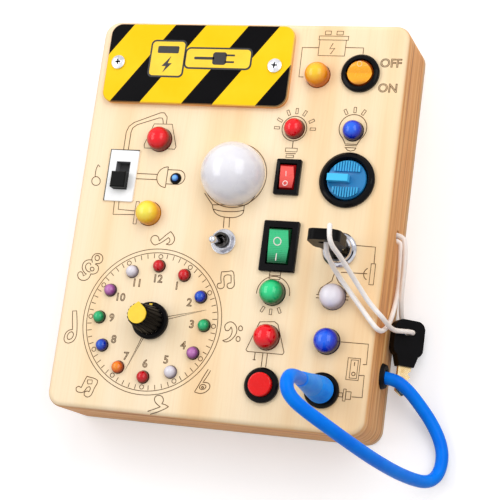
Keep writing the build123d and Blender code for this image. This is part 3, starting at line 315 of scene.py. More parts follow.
def face_wood():
    """Pale planed wood for the play face, with side wood round its edge."""
    material, tree, place, shader = start("face_wood_pale", Specular_IOR_Level=0.3)
    bands = noise(tree, place, 42, 2.0, (1.0, 0.06, 1.0))
    fibres = noise(tree, place, 1300, 3.0, (1.0, 0.03, 1.0))
    grained = mix(tree, 0.25, ramp(tree, bands, *FACE_RAMP), ramp(tree, fibres, *FLECK_RAMP),
                  "MULTIPLY")
    top = stretch_range(tree, facing_up(tree), 0.35, 0.75)
    both = mix(tree, top, side_tone(tree, place), grained)
    surface(tree, shader, both, fibres, 0.42, 0.58, 0.00002)
    return material


print("face wood tones:", len(FACE_RAMP))

# %% [markdown]
# The sides are the same board seen on its edge: browner, with streaks that run
# along it. The back is a thin plywood panel, a little darker than the face.

# %% Side and back wood
BACK_RAMP = ((0.35, (205, 163, 112)), (0.65, (228, 192, 146)))
ALONG_FIBRES = (1.0, 0.04, 1.0)


def side_wood():
    """Brown edge wood for the ring."""
    material, tree, place, shader = start("side_wood_brown", Specular_IOR_Level=0.2)
    fibres = noise(tree, place, 1400, 3.0, ALONG_FIBRES)
    surface(tree, shader, side_tone(tree, place), fibres, 0.45, 0.62, 0.00005)
    return material


def back_wood():
    """Plain plywood for the back panel."""
    material, tree, place, shader = start("back_wood_plain")
    rings = noise(tree, place, 40, 3.0, (1.0, 0.12, 1.0))
    fibres = noise(tree, place, 1200, 3.0, ALONG_FIBRES)
    surface(tree, shader, ramp(tree, rings, *BACK_RAMP), fibres, 0.5, 0.7, 0.00005)
    return material


print("side and back tones:", len(SIDE_RAMP), len(BACK_RAMP))

# %% [markdown]
# Moulded plastic is never one flat colour: it drifts a little, it has a fine
# grain from its mould, and it is glossier where hands polish it. One function
# makes all the plain plastics, rubbers and enamels, from two near tones. The
# metals are made in the same way, with fine wipe marks for a grain. The clear
# tinted plastics of the switches get painted light: a lighter tone where they
# face up or stand high, and painted shade elsewhere.

# %% Moulded plastics, rubber, metals and lit plastics
def moulded(name, tone, deep, gloss, grain=900.0, depth=0.00002, coat=0.0, sheen=0.5):
    """Plastic whose colour drifts between two tones, gloss from 0 dull to 1 shiny."""
    material, tree, place, shader = start(name, Coat_Weight=coat, Coat_Roughness=0.06,
                                          Specular_IOR_Level=sheen)
    drift = noise(tree, place, 130)
    middle = 0.65 - 0.5 * gloss
    surface(tree, shader, ramp(tree, drift, (0.35, deep), (0.65, tone)),
            noise(tree, place, grain, 2.0), middle - 0.06, middle + 0.06, depth)
    return material


def plated(name, tone, deep, roughness):
    """Bright metal with fine wipe marks."""
    material, tree, place, shader = start(name, Metallic=1.0)
    drift = noise(tree, place, 300)
    surface(tree, shader, ramp(tree, drift, (0.3, deep), (0.7, tone)),
            noise(tree, place, 2500, 2.0), roughness * 0.7, roughness * 1.3, 0.000004)
    return material


def lit_plastic(name, bright, deep, gloss, levels=None, ribs=0.0):
    """Clear tinted plastic with painted light: bright where it faces up or stands high, painted
    shade elsewhere.

    Levels are two heights in metres; without them the tone follows the facing.
    Ribs is the pitch of fine ribs across the piece, in metres.
    """
    material, tree, place, shader = start(name)
    # Painted light: the tone lifts where the surface faces up or stands high.
    if levels:
        lift = stretch_range(tree, add(tree, "SeparateXYZ", Vector=place).outputs["Z"], *levels)
    else:
        lift = stretch_range(tree, facing_up(tree), 0.72, 0.97)
    mixed = mix(tree, 0.14, lift, noise(tree, place, 260))
    fine = noise(tree, place, 900.0, 2.0)
    dull = 0.6 - 0.5 * gloss
    height = None
    if ribs:
        height = add(tree, "TexWave", {"bands_direction": "Y"}, Vector=place,
                     Scale=math.tau / (20 * ribs)).outputs["Fac"]
    surface(tree, shader, ramp(tree, mixed, (0.10, deep), (0.85, bright)), fine,
            dull, dull + 0.1, 0.00006 if ribs else 0.000008, height)
    return material


print("plastics and metals are made as they are needed")

# %% [markdown]
# A lamp's lens is tinted clear plastic. Seen from the front it is bright in the
# middle and deep at its rim, where the light has the longest way through it. The
# tint paints this light and shade: it follows how far the surface leans away
# from the lamp's own axis, and a clear coat over it takes the reflections of the
# soft boxes.

# %% Lamp lenses
def lens(name, light, tone, deep, shade=1.0):
    """Tinted lens: painted light in the middle and painted shade at its rim, under a clear coat.
    """
    material, tree, place, shader = start(name, Specular_IOR_Level=0.0, Coat_Weight=1.0,
                                          Coat_Roughness=0.05, Coat_IOR=1.45)
    mixed = mix(tree, 0.10, facing_up(tree), noise(tree, place, 520, 2.0))
    stops = [(at, [part * shade for part in colour])
             for at, colour in ((0.22, deep), (0.62, tone), (0.90, light))]
    surface(tree, shader, ramp(tree, mixed, *stops), noise(tree, place, 1500, 2.0), 0.20, 0.30)
    return material


LENS_TONES = {
    "lamp_red": ((255, 0, 26), (226, 0, 14), (104, 0, 6)),
    "lamp_yellow": ((255, 238, 84), (255, 210, 46), (214, 140, 10)),
    "lamp_orange": ((255, 204, 40), (255, 162, 16), (200, 100, 0)),
    "lamp_green": ((40, 222, 142), (18, 176, 102), (0, 60, 34)),
    "lamp_white": ((250, 244, 252), (238, 230, 243), (148, 140, 158)),
    "lamp_blue": ((34, 106, 246), (6, 42, 206), (0, 0, 72)),
    "lamp_sky": ((120, 190, 250), (60, 130, 220), (10, 44, 120)),
    "lamp_violet": ((232, 142, 222), (184, 92, 180), (74, 24, 84)),
}
SMALL_TONES = {**LENS_TONES, "lamp_orange": ((250, 142, 24), (234, 100, 6), (120, 36, 0))}
SMALL_SHADES = {"lamp_white": 0.93, "lamp_orange": 1.0}
SMALL_SHADE = 0.84
LENSES = {slot: lens(slot.replace("lamp", "lens"), *tones) for slot, tones in LENS_TONES.items()}
SMALL_LENSES = {slot: lens(slot.replace("lamp", "small_lens"), *tones,
                           SMALL_SHADES.get(slot, SMALL_SHADE))
                for slot, tones in SMALL_TONES.items()}
print("lenses:", ", ".join(LENSES))

# %% [markdown]
# The cover plate carries warning stripes. They are printed, so they live in the
# material: a saw wave across the slanted direction is black for its first part
# and yellow for the rest. The plate's edge shows the brown side wood.

# %% Striped plate
STRIPE_PITCH = 32.9
STRIPE_BLACK = 13.9
STRIPE_SLANT = 1.38
STRIPE_CORNER = (-34.2, 82.1)
STRIPE_SOFT = 0.06
PLATE_YELLOW = ((0.35, (252, 204, 22)), (0.65, (255, 210, 34)))
PLATE_BLACK = ((0.35, (4, 3, 5)), (0.65, (8, 7, 9)))


def striped():
    """Yellow plate with black stripes that rise to the right."""
    material, tree, place, shader = start("striped_plate", Specular_IOR_Level=0.05)
    parts = add(tree, "SeparateXYZ", Vector=place).outputs
    shift = (STRIPE_CORNER[1] / STRIPE_SLANT - STRIPE_CORNER[0] + 4 * STRIPE_PITCH) * MM
    across = maths(tree, "MULTIPLY_ADD", parts["Y"], -1 / STRIPE_SLANT, shift)
    total = maths(tree, "ADD", parts["X"], across)
    saw = maths(tree, "MODULO", total, STRIPE_PITCH * MM)
    black, edge = STRIPE_BLACK * MM, STRIPE_SOFT * MM
    yellow = maths(tree, "MAXIMUM", stretch_range(tree, saw, black - edge, black + edge),
                   stretch_range(tree, saw, edge, 0.0))
    drift = noise(tree, place, 60)
    printed = mix(tree, yellow, ramp(tree, drift, *PLATE_BLACK), ramp(tree, drift, *PLATE_YELLOW))
    top = stretch_range(tree, facing_up(tree), 0.5, 0.8)
    surface(tree, shader, mix(tree, top, side_tone(tree, place), printed),
            noise(tree, place, 1100, 2.0), 0.30, 0.42, 0.00001)
    return material


print("stripes every", STRIPE_PITCH, "mm")

# %% [markdown]
# One finish for each of the record's material slots. The hidden pieces take
# theirs from here as well, so nothing in the box is left grey.

# %% All finishes by slot
FINISHES = {
    "face_wood": face_wood(),
    "side_wood": side_wood(),
    "back_wood": back_wood(),
    "screw_steel": plated("screw_steel_plated", (246, 246, 250), (206, 206, 212), 0.24),
    "cover_yellow": striped(),
    "tray_black": moulded("tray_black_plastic", (34, 34, 36), (24, 24, 26), 0.35),
    "cell_jacket": moulded("cell_jacket_print", (40, 74, 150), (28, 56, 122), 0.6),
    "contact_metal": plated("contact_tinned", (212, 210, 204), (178, 176, 170), 0.35),
    "milky_plastic": moulded("milky_globe", (240, 238, 243), (232, 230, 238), 0.80, 160.0,
                             0.0000005, 0.6),
    "circuit_green": moulded("circuit_board", (24, 98, 58), (16, 78, 46), 0.5),
    "black_gloss": moulded("black_moulded_gloss", (12, 11, 13), (7, 6, 8), 0.80, 1200.0,
                           0.000008, sheen=0.1),
    "black_matte": moulded("black_moulded_satin", (13, 12, 14), (8, 7, 8), 0.60, 1200.0,
                           0.000012, sheen=0.06),
    "white_plastic": moulded("white_moulded", (252, 252, 252), (244, 244, 245), 0.5),
    "yellow_plastic": moulded("yellow_moulded", (252, 214, 46), (242, 198, 32), 0.6),
    "red_plastic": moulded("red_moulded", (242, 4, 8), (232, 0, 4), 0.80, coat=0.5, sheen=0.1),
    "green_plastic": moulded("green_moulded", (44, 172, 104), (28, 150, 88), 0.66),
    "orange_plastic": moulded("orange_moulded", (252, 166, 34), (240, 148, 18), 0.7),
    "blue_plastic": moulded("blue_moulded", (44, 172, 234), (30, 152, 220), 0.66),
    "bright_metal": plated("chrome_plate", (226, 226, 232), (172, 172, 180), 0.12),
    "key_brass": plated("brass_blade", (246, 224, 178), (214, 180, 124), 0.26),
    "lace_white": moulded("white_braid", (255, 250, 247), (246, 238, 232), 0.1, 2600.0, 0.00006),
    "black_rubber": moulded("black_rubber_dull", (15, 15, 16), (9, 9, 10), 0.25, sheen=0.1),
    "blue_rubber": moulded("blue_lead_jacket", (0, 134, 255), (0, 120, 250), 0.60, 900.0,
                           0.00001, sheen=0.1),
}
FINISHES.update(LENSES)
# The lock's plug and the toggle's bushing are plated metal painted dark: a painted reflection and
# painted shade of their chrome.
DARK_STEEL_AND_REFLECTION = plated("dark_steel_painted_reflection", (92, 88, 84), (16, 14, 14), 0.24)
OWN_FINISH = {
    # The rockers and the turn switch carry painted light on top and painted shade on their walls.
    "red_rocker": lit_plastic("red_painted_light", (244, 88, 80), (170, 10, 16), 0.7),
    "green_rocker": lit_plastic("green_painted_light", (48, 190, 126), (2, 62, 30), 0.7, ribs=0.00075),
    "round_rocker": lit_plastic("orange_painted_light", (255, 172, 24), (150, 62, 0), 0.8),
    "blue_dial": lit_plastic("blue_painted_light", (66, 196, 248), (28, 124, 184), 0.6, (0.0328, 0.0340)),
    "slide_lever": moulded("grip_black", (4, 4, 5), (2, 2, 3), 0.6, 1200.0, 0.000012, sheen=0.1),
    "plug_boot": moulded("boot_ribbed", (44, 156, 255), (20, 134, 250), 0.5, sheen=0.1),
    "toggle_body": DARK_STEEL_AND_REFLECTION,
    "lock_core": DARK_STEEL_AND_REFLECTION,
}
slots = {row["node"]: row["material_slot"] for row in frame["record"]["subparts"]}
for name, node in frame["nodes"].items():
    node.data.materials.clear()
    node.data.materials.append(FINISHES[slots[name]])
print("finishes:", len(FINISHES), "for", len(slots), "nodes")

# %% [markdown]
# A CAD mesh is loose triangles. A merged copy of it takes smooth shading, and
# two of the copies a narrow bevel that catches the light. The copy replaces its
# node and rides on the same body.

# %% Dressed copies of CAD nodes
COPIES = {
    "front_panel": "play_face", "side_frame": "box_side", "back_panel": "box_back",
    "battery_cover": "cover_plate", "cover_screws": "plate_screws",
    "back_screws": "panel_screws", "clock_knob": "knob_body", "knob_cap": "knob_top",
    "slide_plate": "slide_face", "slide_lever": "slide_grip", "toggle_body": "toggle_bushing",
    "toggle_nut": "toggle_ring", "toggle_lever": "toggle_bat",
    "red_rocker_frame": "red_switch_frame", "green_rocker_frame": "green_switch_frame",
    "round_rocker_frame": "round_switch_frame", "dial_frame": "turn_ring",
    "red_rocker": "red_switch_rocker", "green_rocker": "green_switch_rocker",
    "round_rocker": "round_switch_rocker", "blue_dial": "turn_disc",
    "lock_barrel": "lock_ring", "lock_core": "lock_plug", "key_head": "lock_key_bow",
    "key_blade": "lock_key_blade", "spare_key_head": "loose_key_bow",
    "spare_key_blade": "loose_key_blade", "button_frame": "push_ring",
    "button_cap": "push_cap", "jack_socket": "socket_ring", "plug_boot": "plug_sleeve",
    "plug_pin": "plug_tip", "cable_grommet": "lead_grommet", "lamp_bezel": "mini_holder",
}
BEVELS = {"slide_plate": 0.12, "toggle_nut": 0.15}
CREASE_DEG = 30
CREASES = {"front_panel": 20, "side_frame": 20, "back_panel": 20, "clock_knob": 28}
MERGE = 0.000002
FLAT_DEG = 0.3


def publish(name, mesh, body, finish, slot, *nodes):
    """Make an object of a mesh and give it its body and finish; the slot is not used."""
    piece = new_object(name, mesh)
    mesh.materials.append(finish)
    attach(piece, body)
    if nodes:
        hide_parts(*nodes)
    return piece


def mesh_of(name, bm, crease_deg):
    """Smooth mesh of a bmesh, with sharp edges where it turns by more than the crease."""
    mesh = bpy.data.meshes.new(name)
    bm.to_mesh(mesh)
    bm.free()
    mesh.shade_smooth()
    mesh.set_sharp_from_angle(angle=math.radians(crease_deg))
    return mesh


def dressed(name, node):
    """Merged copy of a node with smooth sides, and bevelled edges where it has a bevel."""
    bm = bmesh.new()
    bm.from_mesh(frame["nodes"][node].data)
    bmesh.ops.remove_doubles(bm, verts=bm.verts, dist=MERGE)
    bmesh.ops.dissolve_limit(bm, angle_limit=math.radians(FLAT_DEG), verts=bm.verts,
                             edges=bm.edges, use_dissolve_boundaries=False)
    crease = CREASES.get(node, CREASE_DEG)
    finish = OWN_FINISH.get(node, FINISHES[slots[node]])
    piece = publish(name, mesh_of(name, bm, crease), frame["nodes"][node]["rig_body"], finish,
                    slots[node], node)
    if node in BEVELS:
        soften = piece.modifiers.new("soften", "BEVEL")
        soften.width = BEVELS[node] * MM
        soften.segments = 2
        soften.limit_method = "ANGLE"
        soften.angle_limit = math.radians(crease)
        soften.harden_normals = True
        soften.use_clamp_overlap = True


for node, name in COPIES.items():
    dressed(name, node)
print("dressed copies:", len(COPIES))

# %% [markdown]
# The lamps and the half globe are turned shapes. A profile of points is spun
# round the Z axis and its first and last columns are merged, so the dome is
# one smooth surface, finer than the CAD mesh.

# %% Turned pieces
def turned(bm, profile, steps=48):
    """Spin a profile of (radius, height) round Z and close its poles."""
    verts = [bm.verts.new((r, 0, z)) for r, z in profile]
    edges = [bm.edges.new(pair) for pair in zip(verts, verts[1:])]
    bmesh.ops.spin(bm, geom=verts + edges, cent=(0, 0, 0), axis=(0, 0, 1), dvec=(0, 0, 0),
                   angle=math.tau, steps=steps, use_merge=True)
    bmesh.ops.remove_doubles(bm, verts=bm.verts, dist=0.0005)
    bmesh.ops.recalc_face_normals(bm, faces=bm.faces)


def dome_profile(radius, foot, shoulder, points=14):
    """Straight wall from foot to shoulder, then a quarter round to the pole."""
    rows = [(0.0, foot), (radius, foot), (radius, shoulder)]
    for step in range(1, points + 1):
        turn = math.pi / 2 * step / points
        rows.append((radius * math.cos(turn), shoulder + radius * math.sin(turn)))
    rows[-1] = (0.0, shoulder + radius)
    return rows


def cast(name, bm, finish, slot, *nodes, crease_deg=35.0):
    """Publish a bmesh in millimetres as a piece of the board."""
    bmesh.ops.scale(bm, vec=(MM, MM, MM), verts=bm.verts)
    publish(name, mesh_of(name, bm, crease_deg), "board", finish, slot, *nodes)


def copies_at(bm, spots, lift):
    """Move the bmesh's shape to the first spot and repeat it at the others."""
    first = list(bm.verts) + list(bm.edges) + list(bm.faces)
    for x, y in spots[1:]:
        made = bmesh.ops.duplicate(bm, geom=first)
        moved = [v for v in made["geom"] if isinstance(v, bmesh.types.BMVert)]
        bmesh.ops.translate(bm, verts=moved, vec=(x, y, lift))
    x, y = spots[0]
    bmesh.ops.translate(bm, verts=[v for v in first if isinstance(v, bmesh.types.BMVert)],
                        vec=(x, y, lift))


print("turned pieces: helpers ready")

# %% [markdown]
# Each kind of lamp has a flange behind the face, a straight body and a round
# crown. The hour lamps stand every 30 degrees round the clock.

# %% Lamps, each kind by its radius, flange radius, flange thickness and height
UNDER = 28.0
CLOCK = (-26.4, -45.9)
HOUR_RING = 23.25
HOUR_COLOURS = ("red", "red", "blue", "green", "violet", "white",
                "red", "orange", "blue", "green", "violet", "white")
LARGE = (5.1, 5.9, 1.5, 10.1)
MEDIUM = (4.15, 4.9, 1.4, 8.5)
SMALL = (2.55, 3.1, 1.0, 6.1)
LAMP_SIDES = 40


def on_dial(radius, hour):
    """Point on the clock, hours clockwise from twelve."""
    turn = math.tau * hour / 12
    return (CLOCK[0] + radius * math.sin(turn), CLOCK[1] + radius * math.cos(turn))


def hour_spots(colour):
    """Places of the hour lamps of one colour."""
    return [on_dial(HOUR_RING, hour) for hour, tone in enumerate(HOUR_COLOURS) if tone == colour]


def lamps(name, kind, spots, slot, *nodes):
    """Lamps of one kind and colour as one piece; the small ones are deeper in tone."""
    radius, flange, thick, height = kind
    rows = dome_profile(radius, -thick, height - radius)
    rows[1:2] = [(flange, -thick), (flange, 0.0), (radius, 0.0)]
    bm = bmesh.new()
    turned(bm, rows, LAMP_SIDES)
    copies_at(bm, spots, UNDER)
    cast(name, bm, (SMALL_LENSES if kind == SMALL else LENSES)[slot], slot, *nodes)


lamps("red_ten_lamps", LARGE, [(-34.35, 31.6), (24.2, -48.6)], "lamp_red", "lamp_red_large")
lamps("yellow_ten_lamp", LARGE, [(-34.4, -0.6)], "lamp_yellow", "lamp_yellow_large")
lamps("orange_ten_lamp", LARGE, [(31.2, 61.9)], "lamp_orange", "lamp_orange_large")
lamps("green_ten_lamp", LARGE, [(24.2, -30.4)], "lamp_green", "lamp_green_large")
lamps("blue_ten_lamp", LARGE, [(49.2, -48.2)], "lamp_blue", "lamp_blue_large")
lamps("white_ten_lamps", LARGE, [(49.3, -30.3), (1.0, 17.7)], "lamp_white", "lamp_white_large")
lamps("red_eight_lamp", MEDIUM, [(24.2, 38.6)], "lamp_red", "lamp_red_medium")
lamps("blue_eight_lamp", MEDIUM, [(49.2, 38.6)], "lamp_blue", "lamp_blue_medium")
for colour in sorted(set(HOUR_COLOURS) - {"blue"}):
    lamps("hour_lamps_" + colour, SMALL, hour_spots(colour), "lamp_" + colour,
          "small_lamps_" + colour)
print("lamps: 8 large, 2 medium and", len(HOUR_COLOURS), "small")

# %% [markdown]
# The two blue hour lamps share their CAD node with the mini lamp beside the
# slide switch. Two pieces stand for it: the two five millimetre domes, and the
# three millimetre one that sits in its dark holder and is paler.

# %% Blue small lamps
MINI_SPOT = (-24.9, 15.1)
MINI_R, MINI_FOOT, MINI_SHOULDER, MINI_DROP = 1.5, -0.8, 3.9, 0.2
bm = bmesh.new()
turned(bm, dome_profile(SMALL[0], -SMALL[2], SMALL[3] - SMALL[0]), LAMP_SIDES)
copies_at(bm, hour_spots("blue"), UNDER)
mini = bmesh.new()
turned(mini, dome_profile(MINI_R, MINI_FOOT, MINI_SHOULDER), 32)
bmesh.ops.translate(mini, verts=mini.verts, vec=(*MINI_SPOT, UNDER - MINI_DROP))
cast("hour_lamps_blue", bm, SMALL_LENSES["lamp_blue"], "lamp_blue", "small_lamps_blue")
cast("mini_lamp", mini, LENSES["lamp_sky"], "lamp_blue", "small_lamps_blue")
print("blue small lamps: 3")

# %% [markdown]
# The globe is blown milky plastic, cut a little below its middle. The white
# lamp inside it is hidden, so the shell is what counts: an outer dome, a wall
# and a spigot in the face.

# %% Half globe
DOME_SPOT = (1.0, 17.7)
DOME_R = 13.3
DOME_WALL = 1.4
DOME_LIFT = 2.6
SPIGOT_WALL, SPIGOT_DEPTH = 0.9, 1.6


def dome_arc(radius, first_deg, last_deg, steps):
    """Points on a circle round the globe's middle, from one angle to another."""
    rows = []
    for step in range(steps + 1):
        turn = math.radians(first_deg + (last_deg - first_deg) * step / steps)
        rows.append((max(radius * math.cos(turn), 0.0), DOME_LIFT + radius * math.sin(turn)))
    return rows


def dome_shell():
    """Outer globe, spigot and inner globe as one closed turned profile."""
    inner = DOME_R - DOME_WALL
    rows = dome_arc(DOME_R, 90, -math.degrees(math.asin(DOME_LIFT / DOME_R)), 28)
    mouth = math.sqrt(inner**2 - DOME_LIFT**2)
    rows += [(mouth + SPIGOT_WALL, 0.0), (mouth + SPIGOT_WALL, -SPIGOT_DEPTH),
             (mouth, -SPIGOT_DEPTH)]
    rows += dome_arc(inner, -math.degrees(math.asin(DOME_LIFT / inner)), 90, 20)
    rows[0] = (0.0, DOME_LIFT + DOME_R)
    rows[-1] = (0.0, DOME_LIFT + inner)
    bm = bmesh.new()
    turned(bm, rows, 72)
    bmesh.ops.translate(bm, verts=bm.verts, vec=(*DOME_SPOT, FACE))
    return bm


cast("half_globe", dome_shell(), FINISHES["milky_plastic"], "milky_plastic", "bulb_dome",
     crease_deg=50)
print("half globe: radius", DOME_R, "mm")

# %% [markdown]
# The circuit pictures are burnt into the wood as brown lines about a third of
# a millimetre wide. Each stroke is a flat path on the face. One curve object
# holds them all, gets a hair's thickness and becomes one mesh.

# %% Strokes
LINE_R = 0.165
SHARP_TURN = 62.0
BURNT = moulded("burnt_line", (108, 70, 32), (74, 46, 20), 0.1, sheen=0.1)


def arc(x, y, r, start_deg, end_deg, steps=16):
    """Points along an arc, anticlockwise angles in degrees."""
    points = []
    for step in range(steps + 1):
        turn = math.radians(start_deg + (end_deg - start_deg) * step / steps)
        points.append((x + r * math.cos(turn), y + r * math.sin(turn)))
    return points


def ring(x, y, r, steps=32):
    """Closed circle of points."""
    return arc(x, y, r, 0, 360, steps)


def frame_of(x0, y0, x1, y1):
    """Closed rectangle."""
    return [(x0, y0), (x1, y0), (x1, y1), (x0, y1), (x0, y0)]


def sharp(corners, number):
    """Whether a stroke turns sharply at one of its points."""
    before, here, after = (Vector(corners[(number + step) % len(corners)]) for step in (-1, 0, 1))
    return (here - before).angle(after - here, 0.0) > math.radians(SHARP_TURN)


def mesh_of_curve(name, data, thick):
    """Mesh of a curve or text drawn as a round line, which is then thrown away."""
    data.bevel_depth = thick * MM
    data.bevel_resolution = 1
    data.resolution_u = 4
    holder = new_object(name, data)
    mesh = bpy.data.meshes.new_from_object(holder.evaluated_get(
        bpy.context.evaluated_depsgraph_get()))
    bpy.data.objects.remove(holder)
    bpy.data.curves.remove(data)
    return mesh


def stroke_mesh(name, strokes, thick, height, soft=False):
    """Mesh of thin round lines along flat strokes, straight or softly curved."""
    data = bpy.data.curves.new(name, "CURVE")
    data.dimensions = "3D"
    data.use_fill_caps = True
    for stroke in strokes:
        closed = len(stroke) > 3 and stroke[0] == stroke[-1]
        corners = stroke[:-1] if closed else stroke
        line = data.splines.new("BEZIER" if soft else "POLY")
        points = line.bezier_points if soft else line.points
        points.add(len(corners) - 1)
        for number, (point, (x, y)) in enumerate(zip(points, corners)):
            if soft:
                point.co = (x * MM, y * MM, height * MM)
                turn = "VECTOR" if sharp(corners, number) else "AUTO"
                point.handle_left_type = point.handle_right_type = turn
            else:
                point.co = (x * MM, y * MM, height * MM, 1.0)
        line.use_cyclic_u = closed
    mesh = mesh_of_curve(name, data, thick)
    mesh.shade_smooth()
    return mesh


def burnt(name, mesh):
    """Publish a mesh as a burnt mark on the face."""
    publish(name, mesh, "board", BURNT, "face_wood")


print("stroke helpers ready")

# %% [markdown]
# Upper and left pictures: a desk lamp, a small lamp on its side, and two wires
# that end in a bar beside the yellow lamp.

# %% Pictures on the left and in the middle
LEFT_STROKES = [
    [(-50.6, 26.6), (-50.6, 34.6), (-49.7, 37.1), (-47.6, 38.9), (-36.1, 43.6), (-34.4, 43.6),
     (-32.9, 41.8), (-32.8, 38.9)],
    [(-48.4, 26.8), (-48.4, 34.6), (-47.9, 36.4), (-46.1, 37.9), (-36.5, 41.3), (-35.1, 41.3),
     (-34.6, 40.4), (-34.2, 38.6)],
    [(-38.3, 38.6), (-30.1, 38.7), (-26.9, 28.9), (-27.4, 27.8), (-41.2, 27.8), (-41.5, 29.3),
     (-38.3, 38.6)],
    [(-43.1, 16.5), (-33.4, 16.5)], [(-43.1, 14.2), (-33.4, 14.2)],
    arc(-29.0, 15.5, 4.5, 90, 270), [(-29.0, 20.0), (-29.0, 11.0)],
    [(-29.0, 18.8), (-24.0, 18.8)] + arc(-24.0, 15.7, 3.1, 90, -90, 14) + [(-29.0, 12.6)],
    [(-51.1, 4.1), (-50.8, -1.8), (-41.1, -1.4)], [(-49.0, 4.1), (-48.8, 0.5), (-41.1, 0.2)],
    frame_of(-41.1, -5.4, -39.7, 4.3),
]
print("left strokes:", len(LEFT_STROKES))

# %% [markdown]
# Right side pictures, from the battery at the top and the bulbs round the
# lamps to the wall switch and the small plug at the bottom.

# %% Pictures on the right
def rays(x, y, *angles, near=6.6, far=8.9, half=0.5):
    """Slim closed rays round a lamp, angles clockwise from straight up."""
    made = []
    for angle in angles:
        dx, dy = math.sin(math.radians(angle)), math.cos(math.radians(angle))
        corners = ((-half, near), (-half, far), (half, far), (half, near), (-half, near))
        made.append([(x + dx * out + dy * aside, y + dy * out - dx * aside)
                     for aside, out in corners])
    return made


RIGHT_STROKES = [
    frame_of(30.0, 70.7, 41.4, 77.6), frame_of(29.6, 77.6, 42.2, 79.3),
    frame_of(32.0, 79.9, 34.5, 81.5), frame_of(37.0, 79.9, 39.7, 81.5),
    [(35.9, 76.2), (34.7, 73.7), (36.9, 74.0), (35.3, 71.5)],
    [(30.0, 74.1), (22.8, 74.1), (23.0, 61.2), (25.0, 61.2)],
    [(41.4, 74.4), (49.1, 74.4), (49.2, 71.8)],
    ring(24.0, 38.8, 5.3, 40), [(24.2, 33.5), (24.2, 30.4)],
    frame_of(21.4, 28.9, 26.4, 30.4), [(21.7, 28.1), (26.0, 28.1)],
    frame_of(22.0, 26.4, 25.2, 27.4),
    arc(48.8, 39.9, 5.8, -48, 228, 28), [(44.9, 35.6), (46.3, 33.3)], [(51.4, 33.3), (52.7, 35.6)],
    [(46.2, 33.1), (51.6, 33.1)], [(46.4, 32.5), (51.4, 32.5)], [(46.4, 31.6), (51.2, 31.6)],
    [(46.8, 31.4), (47.7, 30.5), (49.1, 30.2), (50.5, 30.6), (51.0, 31.4)],
    [(55.7, -8.7), (64.1, -8.9), (64.3, -15.7)], [(51.3, -20.0), (62.0, -19.9)],
    frame_of(63.2, -24.2, 65.0, -15.7), arc(63.2, -20.0, 2.6, 118, 242, 12),
    frame_of(21.7, -24.7, 26.3, -21.7), [(21.7, -23.2), (26.3, -23.2)],
    arc(24.2, -30.6, 7.0, -4, 184, 26),
    [(43.0, -29.3), (43.7, -27.0), (46.3, -25.0), (48.0, -23.7), (48.3, -22.0), (49.2, -19.0)],
    [(54.7, -28.7), (53.3, -26.0), (50.7, -24.0), (49.6, -22.0)],
    [(42.3, -29.7), (44.0, -29.7)], [(42.3, -31.0), (43.9, -31.0)],
    [(54.0, -29.7), (55.7, -29.7)], [(54.0, -31.0), (55.6, -31.0)],
    [(20.3, -42.5), (26.5, -42.0), (28.0, -43.0), (32.0, -54.0), (31.5, -54.9), (16.7, -54.9),
     (16.0, -54.2), (19.7, -44.0), (20.3, -42.5)],
    [(20.0, -54.9), (20.0, -58.0)], [(19.4, -58.0), (20.6, -58.0)],
    [(23.3, -54.9), (23.3, -60.6)], [(25.2, -54.9), (25.2, -60.6)],
    [(54.7, -47.9), (65.9, -47.9), (66.1, -56.0), (64.7, -56.1)],
    frame_of(58.5, -62.5, 63.5, -53.9), frame_of(59.8, -61.8, 62.7, -54.6),
    [(61.3, -55.4), (61.3, -56.9)], ring(61.3, -60.1, 0.7, 14),
    [(63.5, -60.5), (65.7, -60.3), (65.9, -69.0), (61.7, -69.1)],
    frame_of(56.5, -69.5, 58.0, -67.9), frame_of(58.2, -71.0, 59.2, -66.3),
    frame_of(59.3, -70.2, 61.3, -67.2),
]
RIGHT_STROKES += rays(24.2, 38.6, 0, 27, -27, 62, -62, 88, -88)
RIGHT_STROKES += rays(48.8, 39.9, 0, 29, -29)
RIGHT_STROKES += rays(24.2, -30.4, 180, 153, 207)
print("right strokes:", len(RIGHT_STROKES))

# %% [markdown]
# Music marks fill the gaps round the clock: two clefs, single notes and beamed
# pairs, each drawn hollow as one soft outline. The globe's lamp base is drawn in
# the same way. Soft strokes are Bezier lines with automatic handles, so a few
# points make a round shape, and only sharp corners stay straight.

# %% Music marks
TREBLE_CLEF = [
    [(-56.8, -23.1), (-57.3, -21.1), (-56.5, -19.6), (-55, -19.1), (-53.3, -19.5), (-52.4, -20.8),
     (-52.5, -22.3), (-53.6, -23.3), (-55.2, -23.4)],
    [(-53.9, -21), (-54.1, -21.8), (-54.7, -22.1), (-55.5, -21.9), (-55.9, -21.1), (-55.8, -20.3),
     (-55.1, -19.9), (-54.3, -20.2), (-53.9, -21)],
    [(-57.1, -22), (-58.9, -22.1), (-60.4, -22.9), (-61.1, -24.4), (-60.8, -26.3), (-59.6, -27.7),
     (-58.7, -28.2), (-60, -29.1), (-60.6, -27.8), (-61.6, -27.4), (-62.5, -28), (-62.4, -29.5),
     (-61.4, -30.6), (-59.6, -31), (-57.9, -30.4), (-56.9, -28.9), (-56.8, -28), (-55.2, -27.9),
     (-53.9, -27), (-53.6, -25.6), (-54.1, -24.3), (-55.4, -23.7)],
    [(-57.3, -24.3), (-57.6, -23.5), (-58.8, -23.5), (-59.6, -24.5), (-59.4, -25.8), (-58.2, -27),
     (-57, -27.2)],
    [(-55.6, -25.8), (-55.7, -26.4), (-56.3, -26.7), (-57, -26.5), (-57.3, -25.9), (-57.2, -25.3),
     (-56.6, -25.1), (-55.9, -25.3), (-55.6, -25.8)],
]
